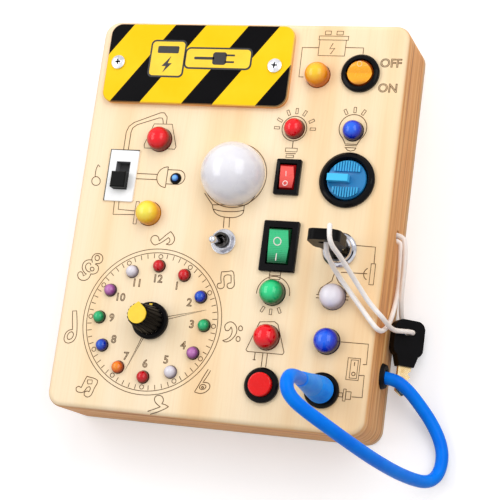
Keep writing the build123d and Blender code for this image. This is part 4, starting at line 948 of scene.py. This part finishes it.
TALL_NOTE = [
    [(-62.3, -44.3), (-60.5, -44.1), (-59.4, -49.4), (-58.9, -53.6), (-59, -55.1), (-59.5, -56.4),
     (-60.9, -57.6), (-62.7, -57.9), (-64, -57), (-64.2, -55.1), (-63.5, -53.3), (-62.3, -52.4),
     (-61, -52.1), (-61.8, -47.9), (-62.3, -44.3)],
    [(-60.5, -55.3), (-61.3, -56.2), (-62.3, -56.4), (-62.9, -55.6), (-62.7, -54.3),
     (-61.9, -53.3), (-60.9, -53.2), (-60.3, -54), (-60.5, -55.3)],
]
LEANING_PAIR = [
    [(-51.2, -71), (-49.5, -71.3), (-47.4, -71.7), (-46.2, -72.3), (-46.2, -73.5), (-47, -75.3),
     (-47.6, -77.2), (-48.2, -78.7), (-49.7, -79.5), (-51.2, -78.8), (-51.2, -77.7),
     (-50.3, -77.1), (-49.2, -77.2), (-48.9, -75.8), (-49.3, -75.2), (-50.3, -75.5),
     (-50.9, -76.4), (-51.7, -77.6), (-53.3, -77.9), (-54.9, -77.4), (-55.3, -76.2),
     (-54.3, -75.5), (-53, -75.9), (-52.4, -74.1), (-51.8, -72.4), (-51.2, -71)],
    [(-50.6, -72.4), (-48.6, -72.3), (-48.5, -73.9), (-50.2, -74.1), (-50.7, -73.3),
     (-50.6, -72.4)],
]
LYING_NOTE = [
    [(-22.2, -82.8), (-20.1, -81.9), (-17, -80.5), (-18.2, -79.8), (-19.7, -78.5), (-20, -77.1),
     (-19.3, -76.2), (-17.8, -75.9), (-16.6, -76.6), (-16.1, -77.9), (-16.6, -79.2),
     (-15.1, -79.4), (-13.5, -80.1), (-14.6, -80.9), (-17.8, -82.6), (-20.9, -83.9)],
]
HALF_NOTE = [
    [(1.2, -63.5), (-0.3, -66.5), (-1.9, -70.1), (-3.3, -73.1), (-2.1, -73.4), (-0.1, -73.4),
     (1.9, -72.3), (2.9, -70.7), (2.5, -69.4), (1.1, -68.9), (-0.3, -69), (1.3, -66.1),
     (2.3, -63.9)],
    [(1.2, -70.4), (1.1, -71.1), (0.3, -71.7), (-0.7, -71.8), (-1.4, -71.3), (-1.3, -70.5),
     (-0.5, -69.9), (0.6, -69.9), (1.2, -70.4)],
    [(0.3, -70.9), (0.2, -71.2), (-0.1, -71.3), (-0.4, -71.3), (-0.6, -71), (-0.5, -70.8),
     (-0.2, -70.6), (0.1, -70.7), (0.3, -70.9)],
]
SQUARE_PAIR = [
    [(1.1, -23.2), (3.7, -22.9), (5.7, -22.6), (6.4, -23.5), (6.9, -26), (7.3, -28.4),
     (6.8, -29.4), (5.1, -29.8), (4.3, -28.9), (4.5, -27.9), (5.8, -27.5), (5.5, -25.2),
     (5.3, -24.3), (3.1, -24.5), (2.5, -25.2), (2.8, -27.5), (3, -29.3), (2.4, -30), (0.7, -30),
     (0, -29.1), (0.3, -28.2), (1.6, -27.9), (1.1, -25.5), (1.1, -23.2)],
]
FLAGGED_NOTE = [
    [(-28.2, -12), (-28.8, -10.4), (-30.1, -9.8), (-31.5, -10.3), (-32, -11.6), (-31.4, -12.8),
     (-29.9, -13.8), (-28.4, -13.3), (-26.8, -12.4), (-25.4, -11.3), (-24.3, -10.3),
     (-23.5, -11.2), (-23.7, -12.4), (-24.9, -13.2)],
    [(-28.2, -12), (-26.8, -10.6), (-25.3, -9.1), (-23.7, -7.7), (-22.3, -9.1), (-21.5, -10.8),
     (-21.9, -12.4), (-23.1, -13.3), (-24.9, -13.2)],
]
BASS_CLEF = [
    [(6.3, -47.1), (5.7, -45.5), (6.5, -44.1), (8.1, -43.5), (9.7, -44.2), (10.8, -45.7),
     (11, -47.7), (10.1, -49.7), (8.6, -51.2), (6.8, -51.8), (5.6, -51.3), (7, -50.8),
     (8.3, -49.8), (9, -48.4), (9, -46.7), (8.4, -45.5), (7.8, -46.8), (7.1, -47.2), (6.3, -47.1)],
    [(13.3, -45.8), (13.2, -46.5), (12.6, -46.8), (12, -46.6), (11.7, -45.9), (11.8, -45.2),
     (12.4, -44.8), (13, -45.1), (13.3, -45.8)],
    [(12.9, -50.1), (12.8, -50.9), (12.2, -51.2), (11.6, -51), (11.2, -50.3), (11.4, -49.5),
     (11.9, -49.2), (12.6, -49.4), (12.9, -50.1)],
]
SMALL_NOTE = [
    [(-59.1, 12.4), (-59.4, 11), (-60.7, 10.4), (-62.2, 10.8), (-63, 12.2), (-62.6, 13.6),
     (-61.4, 14.2), (-59.9, 13.7), (-59.1, 12.4)],
    [(-61.8, 14.2), (-61.9, 16.3), (-61.7, 18.1), (-61.2, 19.5), (-60.2, 18.6)],
]
MUSIC_STROKES = (TREBLE_CLEF + TALL_NOTE + LEANING_PAIR + LYING_NOTE + HALF_NOTE + SQUARE_PAIR
                 + FLAGGED_NOTE + BASS_CLEF + SMALL_NOTE)
print("music strokes:", len(MUSIC_STROKES))

# %% Lamp base under the globe
GLOBE_BASE = [
    [(-7, 4.7), (-0.3, 5), (6.9, 5.2)],
    [(-7, 4.7), (-6.5, 2.9)],
    [(6.9, 5.2), (7, 3.1)],
    [(-6.5, 2.9), (-3.4, 2.3), (0.5, 2.2), (4.4, 2.5), (7, 3.1)],
    [(-6.5, 2.9), (-5.2, 1.3), (-3.1, 0.2), (-1.1, -0.2), (0.9, -0.3), (3.5, -0.1), (5.5, 0.7),
     (6.8, 1.9), (7, 3.1)],
    [(-1.1, -0.2), (-0.8, -4.8)],
    [(1.3, -0.3), (1.6, -4.5)],
    [(-11.1, 9.4), (-9.3, 7.3), (-7.1, 4.8)],
    [(11.5, 10.9), (10.4, 8.3), (8.3, 5.9), (6.9, 5.2)],
]
GLOBE_BASE.append(ring(*DOME_SPOT, DOME_R + 0.45, 48))
print("base strokes:", len(GLOBE_BASE))

# %% [markdown]
# The clock dial is burnt as well: two rings, the ticks of the minutes, a small
# circle at each hour and two tapered hands drawn in outline from the knob.

# %% Clock dial strokes
DIAL_RINGS = (30.5, 28.9)
TICK_LOW, TICK_HIGH = 26.6, 28.5
HOUR_DOT_RING, HOUR_DOT_R = 27.3, 0.9
HAND_ROOT = 7.2
DIAL_LINE_R = LINE_R * 0.9


def hand(tip, root_half):
    """Outline of a tapered hand from the knob to its tip."""
    dx, dy = tip[0] - CLOCK[0], tip[1] - CLOCK[1]
    size = math.hypot(dx, dy)
    ahead, aside = (dx / size, dy / size), (-dy / size, dx / size)
    root = (CLOCK[0] + ahead[0] * HAND_ROOT, CLOCK[1] + ahead[1] * HAND_ROOT)
    return [(root[0] + aside[0] * root_half, root[1] + aside[1] * root_half), tip,
            (root[0] - aside[0] * root_half, root[1] - aside[1] * root_half)]


DIAL_STROKES = [ring(*CLOCK, radius, 96) for radius in DIAL_RINGS]
DIAL_STROKES += [[on_dial(TICK_LOW, tick / 5), on_dial(TICK_HIGH, tick / 5)]
                 for tick in range(60) if tick % 5]
DIAL_STROKES += [ring(*on_dial(HOUR_DOT_RING, hour), HOUR_DOT_R, 14) for hour in range(12)]
DIAL_STROKES += [hand((-3.1, -39.4), 0.55), hand((-34.5, -66.6), 0.4)]
burnt("burnt_pictures", stroke_mesh("burnt_pictures", LEFT_STROKES + RIGHT_STROKES, LINE_R, FACE))
burnt("burnt_marks", stroke_mesh("burnt_marks", MUSIC_STROKES + GLOBE_BASE, LINE_R, FACE, True))
burnt("burnt_dial", stroke_mesh("burnt_dial", DIAL_STROKES, DIAL_LINE_R, FACE))
print("dial strokes:", len(DIAL_STROKES))

# %% [markdown]
# The numerals and the two switch words are burnt in outline. A text object
# with no fill and a hair of bevel gives the outline of each letter. It becomes
# a mesh before it is moved to its place.

# %% Numerals and words
NUMERAL_RING, NUMERAL_SIZE = 17.8, 4.6
WORD_SIZE = 5.15
SWITCH_WORDS = {"OFF": (61.4, 67.9), "ON": (61.3, 57.2)}
TEXT_LINE_R = LINE_R * 0.85


def outline_text(word, size, x, y):
    """Mesh of a word's outline, centred on x, y on the face."""
    data = bpy.data.curves.new("word", "FONT")
    data.body = word
    data.size = size * MM
    data.align_x = "CENTER"
    data.align_y = "CENTER"
    data.fill_mode = "NONE"
    mesh = mesh_of_curve("word", data, TEXT_LINE_R)
    mesh.transform(Matrix.Translation((x * MM, y * MM, FACE * MM)))
    return mesh


def joined(name, meshes):
    """One mesh of several."""
    bm = bmesh.new()
    for mesh in meshes:
        bm.from_mesh(mesh)
        bpy.data.meshes.remove(mesh)
    whole = bpy.data.meshes.new(name)
    bm.to_mesh(whole)
    bm.free()
    whole.shade_smooth()
    return whole


words = [outline_text(str(hour or 12), NUMERAL_SIZE, *on_dial(NUMERAL_RING, hour))
         for hour in range(12)]
words += [outline_text(word, WORD_SIZE, *spot) for word, spot in SWITCH_WORDS.items()]
burnt("burnt_numerals", joined("burnt_numerals", words))
print("numerals and words:", len(words))

# %% [markdown]
# The cover's print is a plain picture of a box with a bolt and, beside it, a
# plug. Each layer is a flat shape a few hundredths of a millimetre thick:
# black below, yellow over it, a little smaller.

# %% Printed picture on the cover
COVER_TOP = 33.5
LIFT = 0.04


def layer(outlines, low, high):
    """Flat shapes as thin prisms, from outlines of corners."""
    bm = bmesh.new()
    for corners in outlines:
        verts = [bm.verts.new((x, y, low)) for x, y in corners]
        side = bm.faces.new(verts)
        side.normal_update()
        if side.normal.z < 0:
            side.normal_flip()
        raised = bmesh.ops.extrude_face_region(bm, geom=[side])
        up = [v for v in raised["geom"] if isinstance(v, bmesh.types.BMVert)]
        bmesh.ops.translate(bm, verts=up, vec=(0, 0, high - low))
    bmesh.ops.recalc_face_normals(bm, faces=bm.faces)
    return bm


def rounded(x0, y0, x1, y1, r):
    """Corners of a rounded rectangle."""
    points = []
    for cx, cy, turn in ((x1 - r, y1 - r, 0), (x0 + r, y1 - r, 90), (x0 + r, y0 + r, 180),
                         (x1 - r, y0 + r, 270)):
        points += arc(cx, cy, r, turn, turn + 90, 5)
    return points


PRINT_BLACK = moulded("print_black", (24, 22, 24), (16, 15, 16), 0.55)
PRINT_YELLOW = moulded("print_yellow", (255, 214, 40), (250, 206, 32), 0.55)
BOX, BANNER = (-44.0, 58.6, -27.6, 75.4), (-27.9, 62.6, 2.4, 72.4)
OUTLINE_LAYER = [rounded(*BOX, 2.2), rounded(*BANNER, 2.4)]
FILL_LAYER = [rounded(-43.2, 59.4, -28.4, 74.6, 1.6), rounded(-27.2, 63.4, 1.6, 71.6, 1.8)]
MARK_LAYER = [rounded(-40.6, 69.4, -30.9, 72.6, 0.6),
              [(-34.0, 68.2), (-37.9, 63.6), (-36.0, 63.6), (-37.2, 60.6), (-33.4, 64.9),
               (-35.2, 64.9)],
              rounded(-23.5, 66.9, -14.5, 68.1, 0.4), rounded(-15.2, 64.7, -9.0, 70.3, 1.2),
              rounded(-9.6, 68.6, -5.4, 69.4, 0.2), rounded(-9.6, 65.6, -5.4, 66.4, 0.2)]
PRINT_LAYERS = (("print_outline", OUTLINE_LAYER, PRINT_BLACK),
                ("print_fill", FILL_LAYER, PRINT_YELLOW), ("print_marks", MARK_LAYER, PRINT_BLACK))
for number, (name, shapes, finish) in enumerate(PRINT_LAYERS, 1):
    cast(name, layer(shapes, COVER_TOP, COVER_TOP + number * LIFT), finish, "cover_yellow")
print("print layers:", len(PRINT_LAYERS))

# %% [markdown]
# Small things that the CAD leaves out: the marks printed on the rockers, a
# liner in the slide's slot, a black line along the left and top edges of its
# plate that paints the shade in the gap round it, a black cross on each cover
# screw that paints the shade in its recess, and the knot that holds the lace
# inside the wall.

# %% Marks on the rockers
ROCKER_TILT = 9.0
ROCKER_MID = 2.3
ROCKER_RISE = 1.1
MARK_FLATNESS = 0.3


def rocker_marks(name, node, pivot, end, strokes, finish, thick=0.22):
    """Flat marks laid on a rocker's shallow valley, tilted with it about its pivot."""
    mesh = stroke_mesh(name, strokes, thick, 0.0)
    for vert in mesh.vertices:
        rise = ROCKER_MID * MM + ROCKER_RISE / end * abs(vert.co.y)
        vert.co.z = rise + MARK_FLATNESS * vert.co.z
    tilt = Matrix.Rotation(math.radians(ROCKER_TILT), 4, "X")
    mesh.transform(Matrix.Translation([part * MM for part in pivot]) @ tilt)
    publish(name, mesh, frame["nodes"][node]["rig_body"], finish, "white_plastic")


MARK_WHITE = moulded("mark_white", (255, 240, 236), (248, 226, 222), 0.5)
MARK_CREAM = moulded("mark_cream", (255, 220, 160), (250, 206, 140), 0.5)
rocker_marks("red_marks", "red_rocker", (24.2, 17.8, 30.729), 5.3,
             [[(-0.4, 0.4), (-0.4, 2.5)], ring(-0.4, -2.5, 0.95, 20)], MARK_WHITE, 0.17)
rocker_marks("green_marks", "green_rocker", (24.6, -11.3, 31.058), 7.4,
             [ring(-0.5, 2.0, 1.55, 24), [(-0.4, -2.8), (-0.4, -5.8)]], MARK_WHITE)
rocker_marks("round_marks", "round_rocker", (49.3, 63.1, 30.792), 5.7,
             [ring(-0.1, 3.7, 1.0, 20)], MARK_CREAM, 0.16)
print("rocker marks: 3 pieces")

# %% Liner, painted gap shade, painted recess shade and knot
SLIDE = (-49.2, 15.1)
SLOT_SIZE, SLOT_TOP = (6.4, 12.2), 31.85
WELL_SIZE, WELL_LOW, WELL_FLOOR = (8.2, 13.6), 25.9, 25.8
PLATE_LEFT, PLATE_RIGHT, PLATE_HALF, PLATE_TOP = 6.55, 6.45, 11.2, 31.7
PLATE_LINE_R = 0.3
COVER_SCREWS, CROSS_LONG, CROSS_HALF = ((-58.0, 64.8), (12.8, 64.8)), 1.25, 0.3
CROSS_LOW, CROSS_TOP = 34.2, 34.5
KNOT_PLACE, KNOT_R = (58.75, 0.0, 14.0), 2.9
MATTE = FINISHES["black_matte"]
SLOT_GREY = moulded("slot_grey", (136, 136, 140), (120, 120, 124), 0.4)


def boxes(corners):
    """Boxes as one bmesh, each from its low and high corner in millimetres."""
    bm = bmesh.new()
    for x0, y0, z0, x1, y1, z1 in corners:
        size = Matrix.Diagonal((x1 - x0, y1 - y0, z1 - z0, 1.0))
        middle = Matrix.Translation(((x0 + x1) / 2, (y0 + y1) / 2, (z0 + z1) / 2))
        bmesh.ops.create_cube(bm, size=1.0, matrix=middle @ size)
    return bm


def around(x, y, half_w, half_h):
    """Low and high x and y of a rectangle round a middle."""
    return x - half_w, y - half_h, x + half_w, y + half_h


def walls(x, y, w, h, low, high, thick=0.1):
    """Four thin walls just inside a rectangular opening."""
    x0, y0, x1, y1 = around(x, y, w / 2, h / 2)
    return [(x0, y0, low, x0 + thick, y1, high), (x1 - thick, y0, low, x1, y1, high),
            (x0 + thick, y0, low, x1 - thick, y0 + thick, high),
            (x0 + thick, y1 - thick, low, x1 - thick, y1, high)]


liner = walls(*SLIDE, *SLOT_SIZE, UNDER, SLOT_TOP) + walls(*SLIDE, *WELL_SIZE, WELL_LOW, UNDER)
x0, y0, x1, y1 = around(*SLIDE, WELL_SIZE[0] / 2, WELL_SIZE[1] / 2)
liner.append((x0, y0, WELL_FLOOR, x1, y1, WELL_LOW))
cast("slot_liner", boxes(liner), SLOT_GREY, "black_matte")
# A black line along the plate's left and top edges: painted shade in the gap round the plate.
left, right, low, high = (SLIDE[0] - PLATE_LEFT, SLIDE[0] + PLATE_RIGHT, SLIDE[1] - PLATE_HALF,
                          SLIDE[1] + PLATE_HALF)
edge = stroke_mesh("plate_gap_shade", [[(left, low), (left, high), (right, high)]], PLATE_LINE_R,
                   PLATE_TOP)
publish("plate_gap_shade", edge, "board", MATTE, "black_matte")
# Black crosses on the cover screws: painted shade in their cross recesses.
crosses = []
for spot in COVER_SCREWS:
    for half_w, half_h in ((CROSS_LONG, CROSS_HALF), (CROSS_HALF, CROSS_LONG)):
        x0, y0, x1, y1 = around(*spot, half_w, half_h)
        crosses.append((x0, y0, CROSS_LOW, x1, y1, CROSS_TOP))
cast("screw_cross_shades", boxes(crosses), MATTE, "black_matte")
knot = bmesh.new()
bmesh.ops.create_uvsphere(knot, u_segments=24, v_segments=16, radius=KNOT_R)
bmesh.ops.translate(knot, verts=knot.verts, vec=KNOT_PLACE)
cast("lace_knot", knot, FINISHES["lace_white"], "lace_white")
print("liner, edge, crosses and knot")

# %% [markdown]
# The stage: a pale floor that keeps the object's soft shadow, a white world,
# two tall soft boxes left and right of the board, and one above its top edge
# that throws the shadow towards the viewer and stays out of the reflections.
# Through Light Path the floor and the world look white to the camera and to
# reflections, without putting more light on the board. The light that bounces
# off the floor is dimmer and warmer than the floor looks.

# %% Floor, world and lights
FLOOR_DROP = 0.0002
FLOOR_HALF = 4.0
FLOOR_GLOW = 0.32
FLOOR_SEEN, FLOOR_BOUNCE = (0.86, 0.84, 0.84, 1), (0.60, 0.46, 0.35, 1)
WORLD_LIGHT, WORLD_SEEN = 0.42, 1.0
WHITE = (1, 1, 1, 1)
LIGHTS = ((Vector((-0.645, 0.132, 0.753)), 2.95, True), (Vector((0.614, 0.254, 0.752)), 2.6, True),
          (Vector((0.10, 0.80, 0.62)), 2.4, False))
LIGHT_SIZE, LIGHT_AWAY = (0.42, 0.84), 0.85


def seen(tree, other, direct):
    """Value for light that lands on things, and for the camera and reflections."""
    path = add(tree, "LightPath").outputs
    shown = path["Is Camera Ray"]
    for kind in ("Is Transmission Ray", "Is Glossy Ray"):
        shown = maths(tree, "MAXIMUM", shown, path[kind])
    return stretch_range(tree, shown, 0.0, 1.0, other, direct)


world = bpy.data.worlds.new("studio")
bpy.context.scene.world = world
tree = blank_tree(world)
sky = add(tree, "Background", Color=WHITE, Strength=seen(tree, WORLD_LIGHT, WORLD_SEEN))
add(tree, "OutputWorld", Surface=sky.outputs["Background"])

bm = bmesh.new()
bmesh.ops.create_grid(bm, x_segments=1, y_segments=1, size=FLOOR_HALF)
bmesh.ops.translate(bm, verts=bm.verts, vec=(0, 0, -FLOOR_DROP))
floor = new_object("floor", mesh_of("floor", bm, CREASE_DEG))
floor_finish = bpy.data.materials.new("floor_white")
tree = blank_tree(floor_finish)
bounce = add(tree, "LightPath").outputs["Is Diffuse Ray"]
paper = add(tree, "BsdfDiffuse", Color=mix(tree, bounce, FLOOR_SEEN, FLOOR_BOUNCE))
glow = add(tree, "Emission", Color=WHITE, Strength=seen(tree, 0.0, FLOOR_GLOW))
both = add(tree, "AddShader")
tree.links.new(paper.outputs["BSDF"], both.inputs[0])
tree.links.new(glow.outputs["Emission"], both.inputs[1])
add(tree, "OutputMaterial", Surface=both.outputs["Shader"])
floor.data.materials.append(floor_finish)

for number, (toward, power, mirrored) in enumerate(LIGHTS):
    data = bpy.data.lights.new("soft_box_%d" % number, "AREA")
    data.shape = "RECTANGLE"
    data.size, data.size_y = LIGHT_SIZE
    data.energy = power
    lamp = new_object(data.name, data)
    lamp.visible_glossy = mirrored
    ahead = -toward.normalized()
    lamp.matrix_world = look_matrix(-ahead * LIGHT_AWAY, ahead, Vector((0, 1, 0)))
print("stage: floor, world and", len(LIGHTS), "soft boxes")

# %% [markdown]
# The cords get their jackets last.

# %% Finish the cords
lead.data.materials.append(FINISHES["blue_rubber"])
lace.data.materials.append(FINISHES["lace_white"])
print("cords finished")
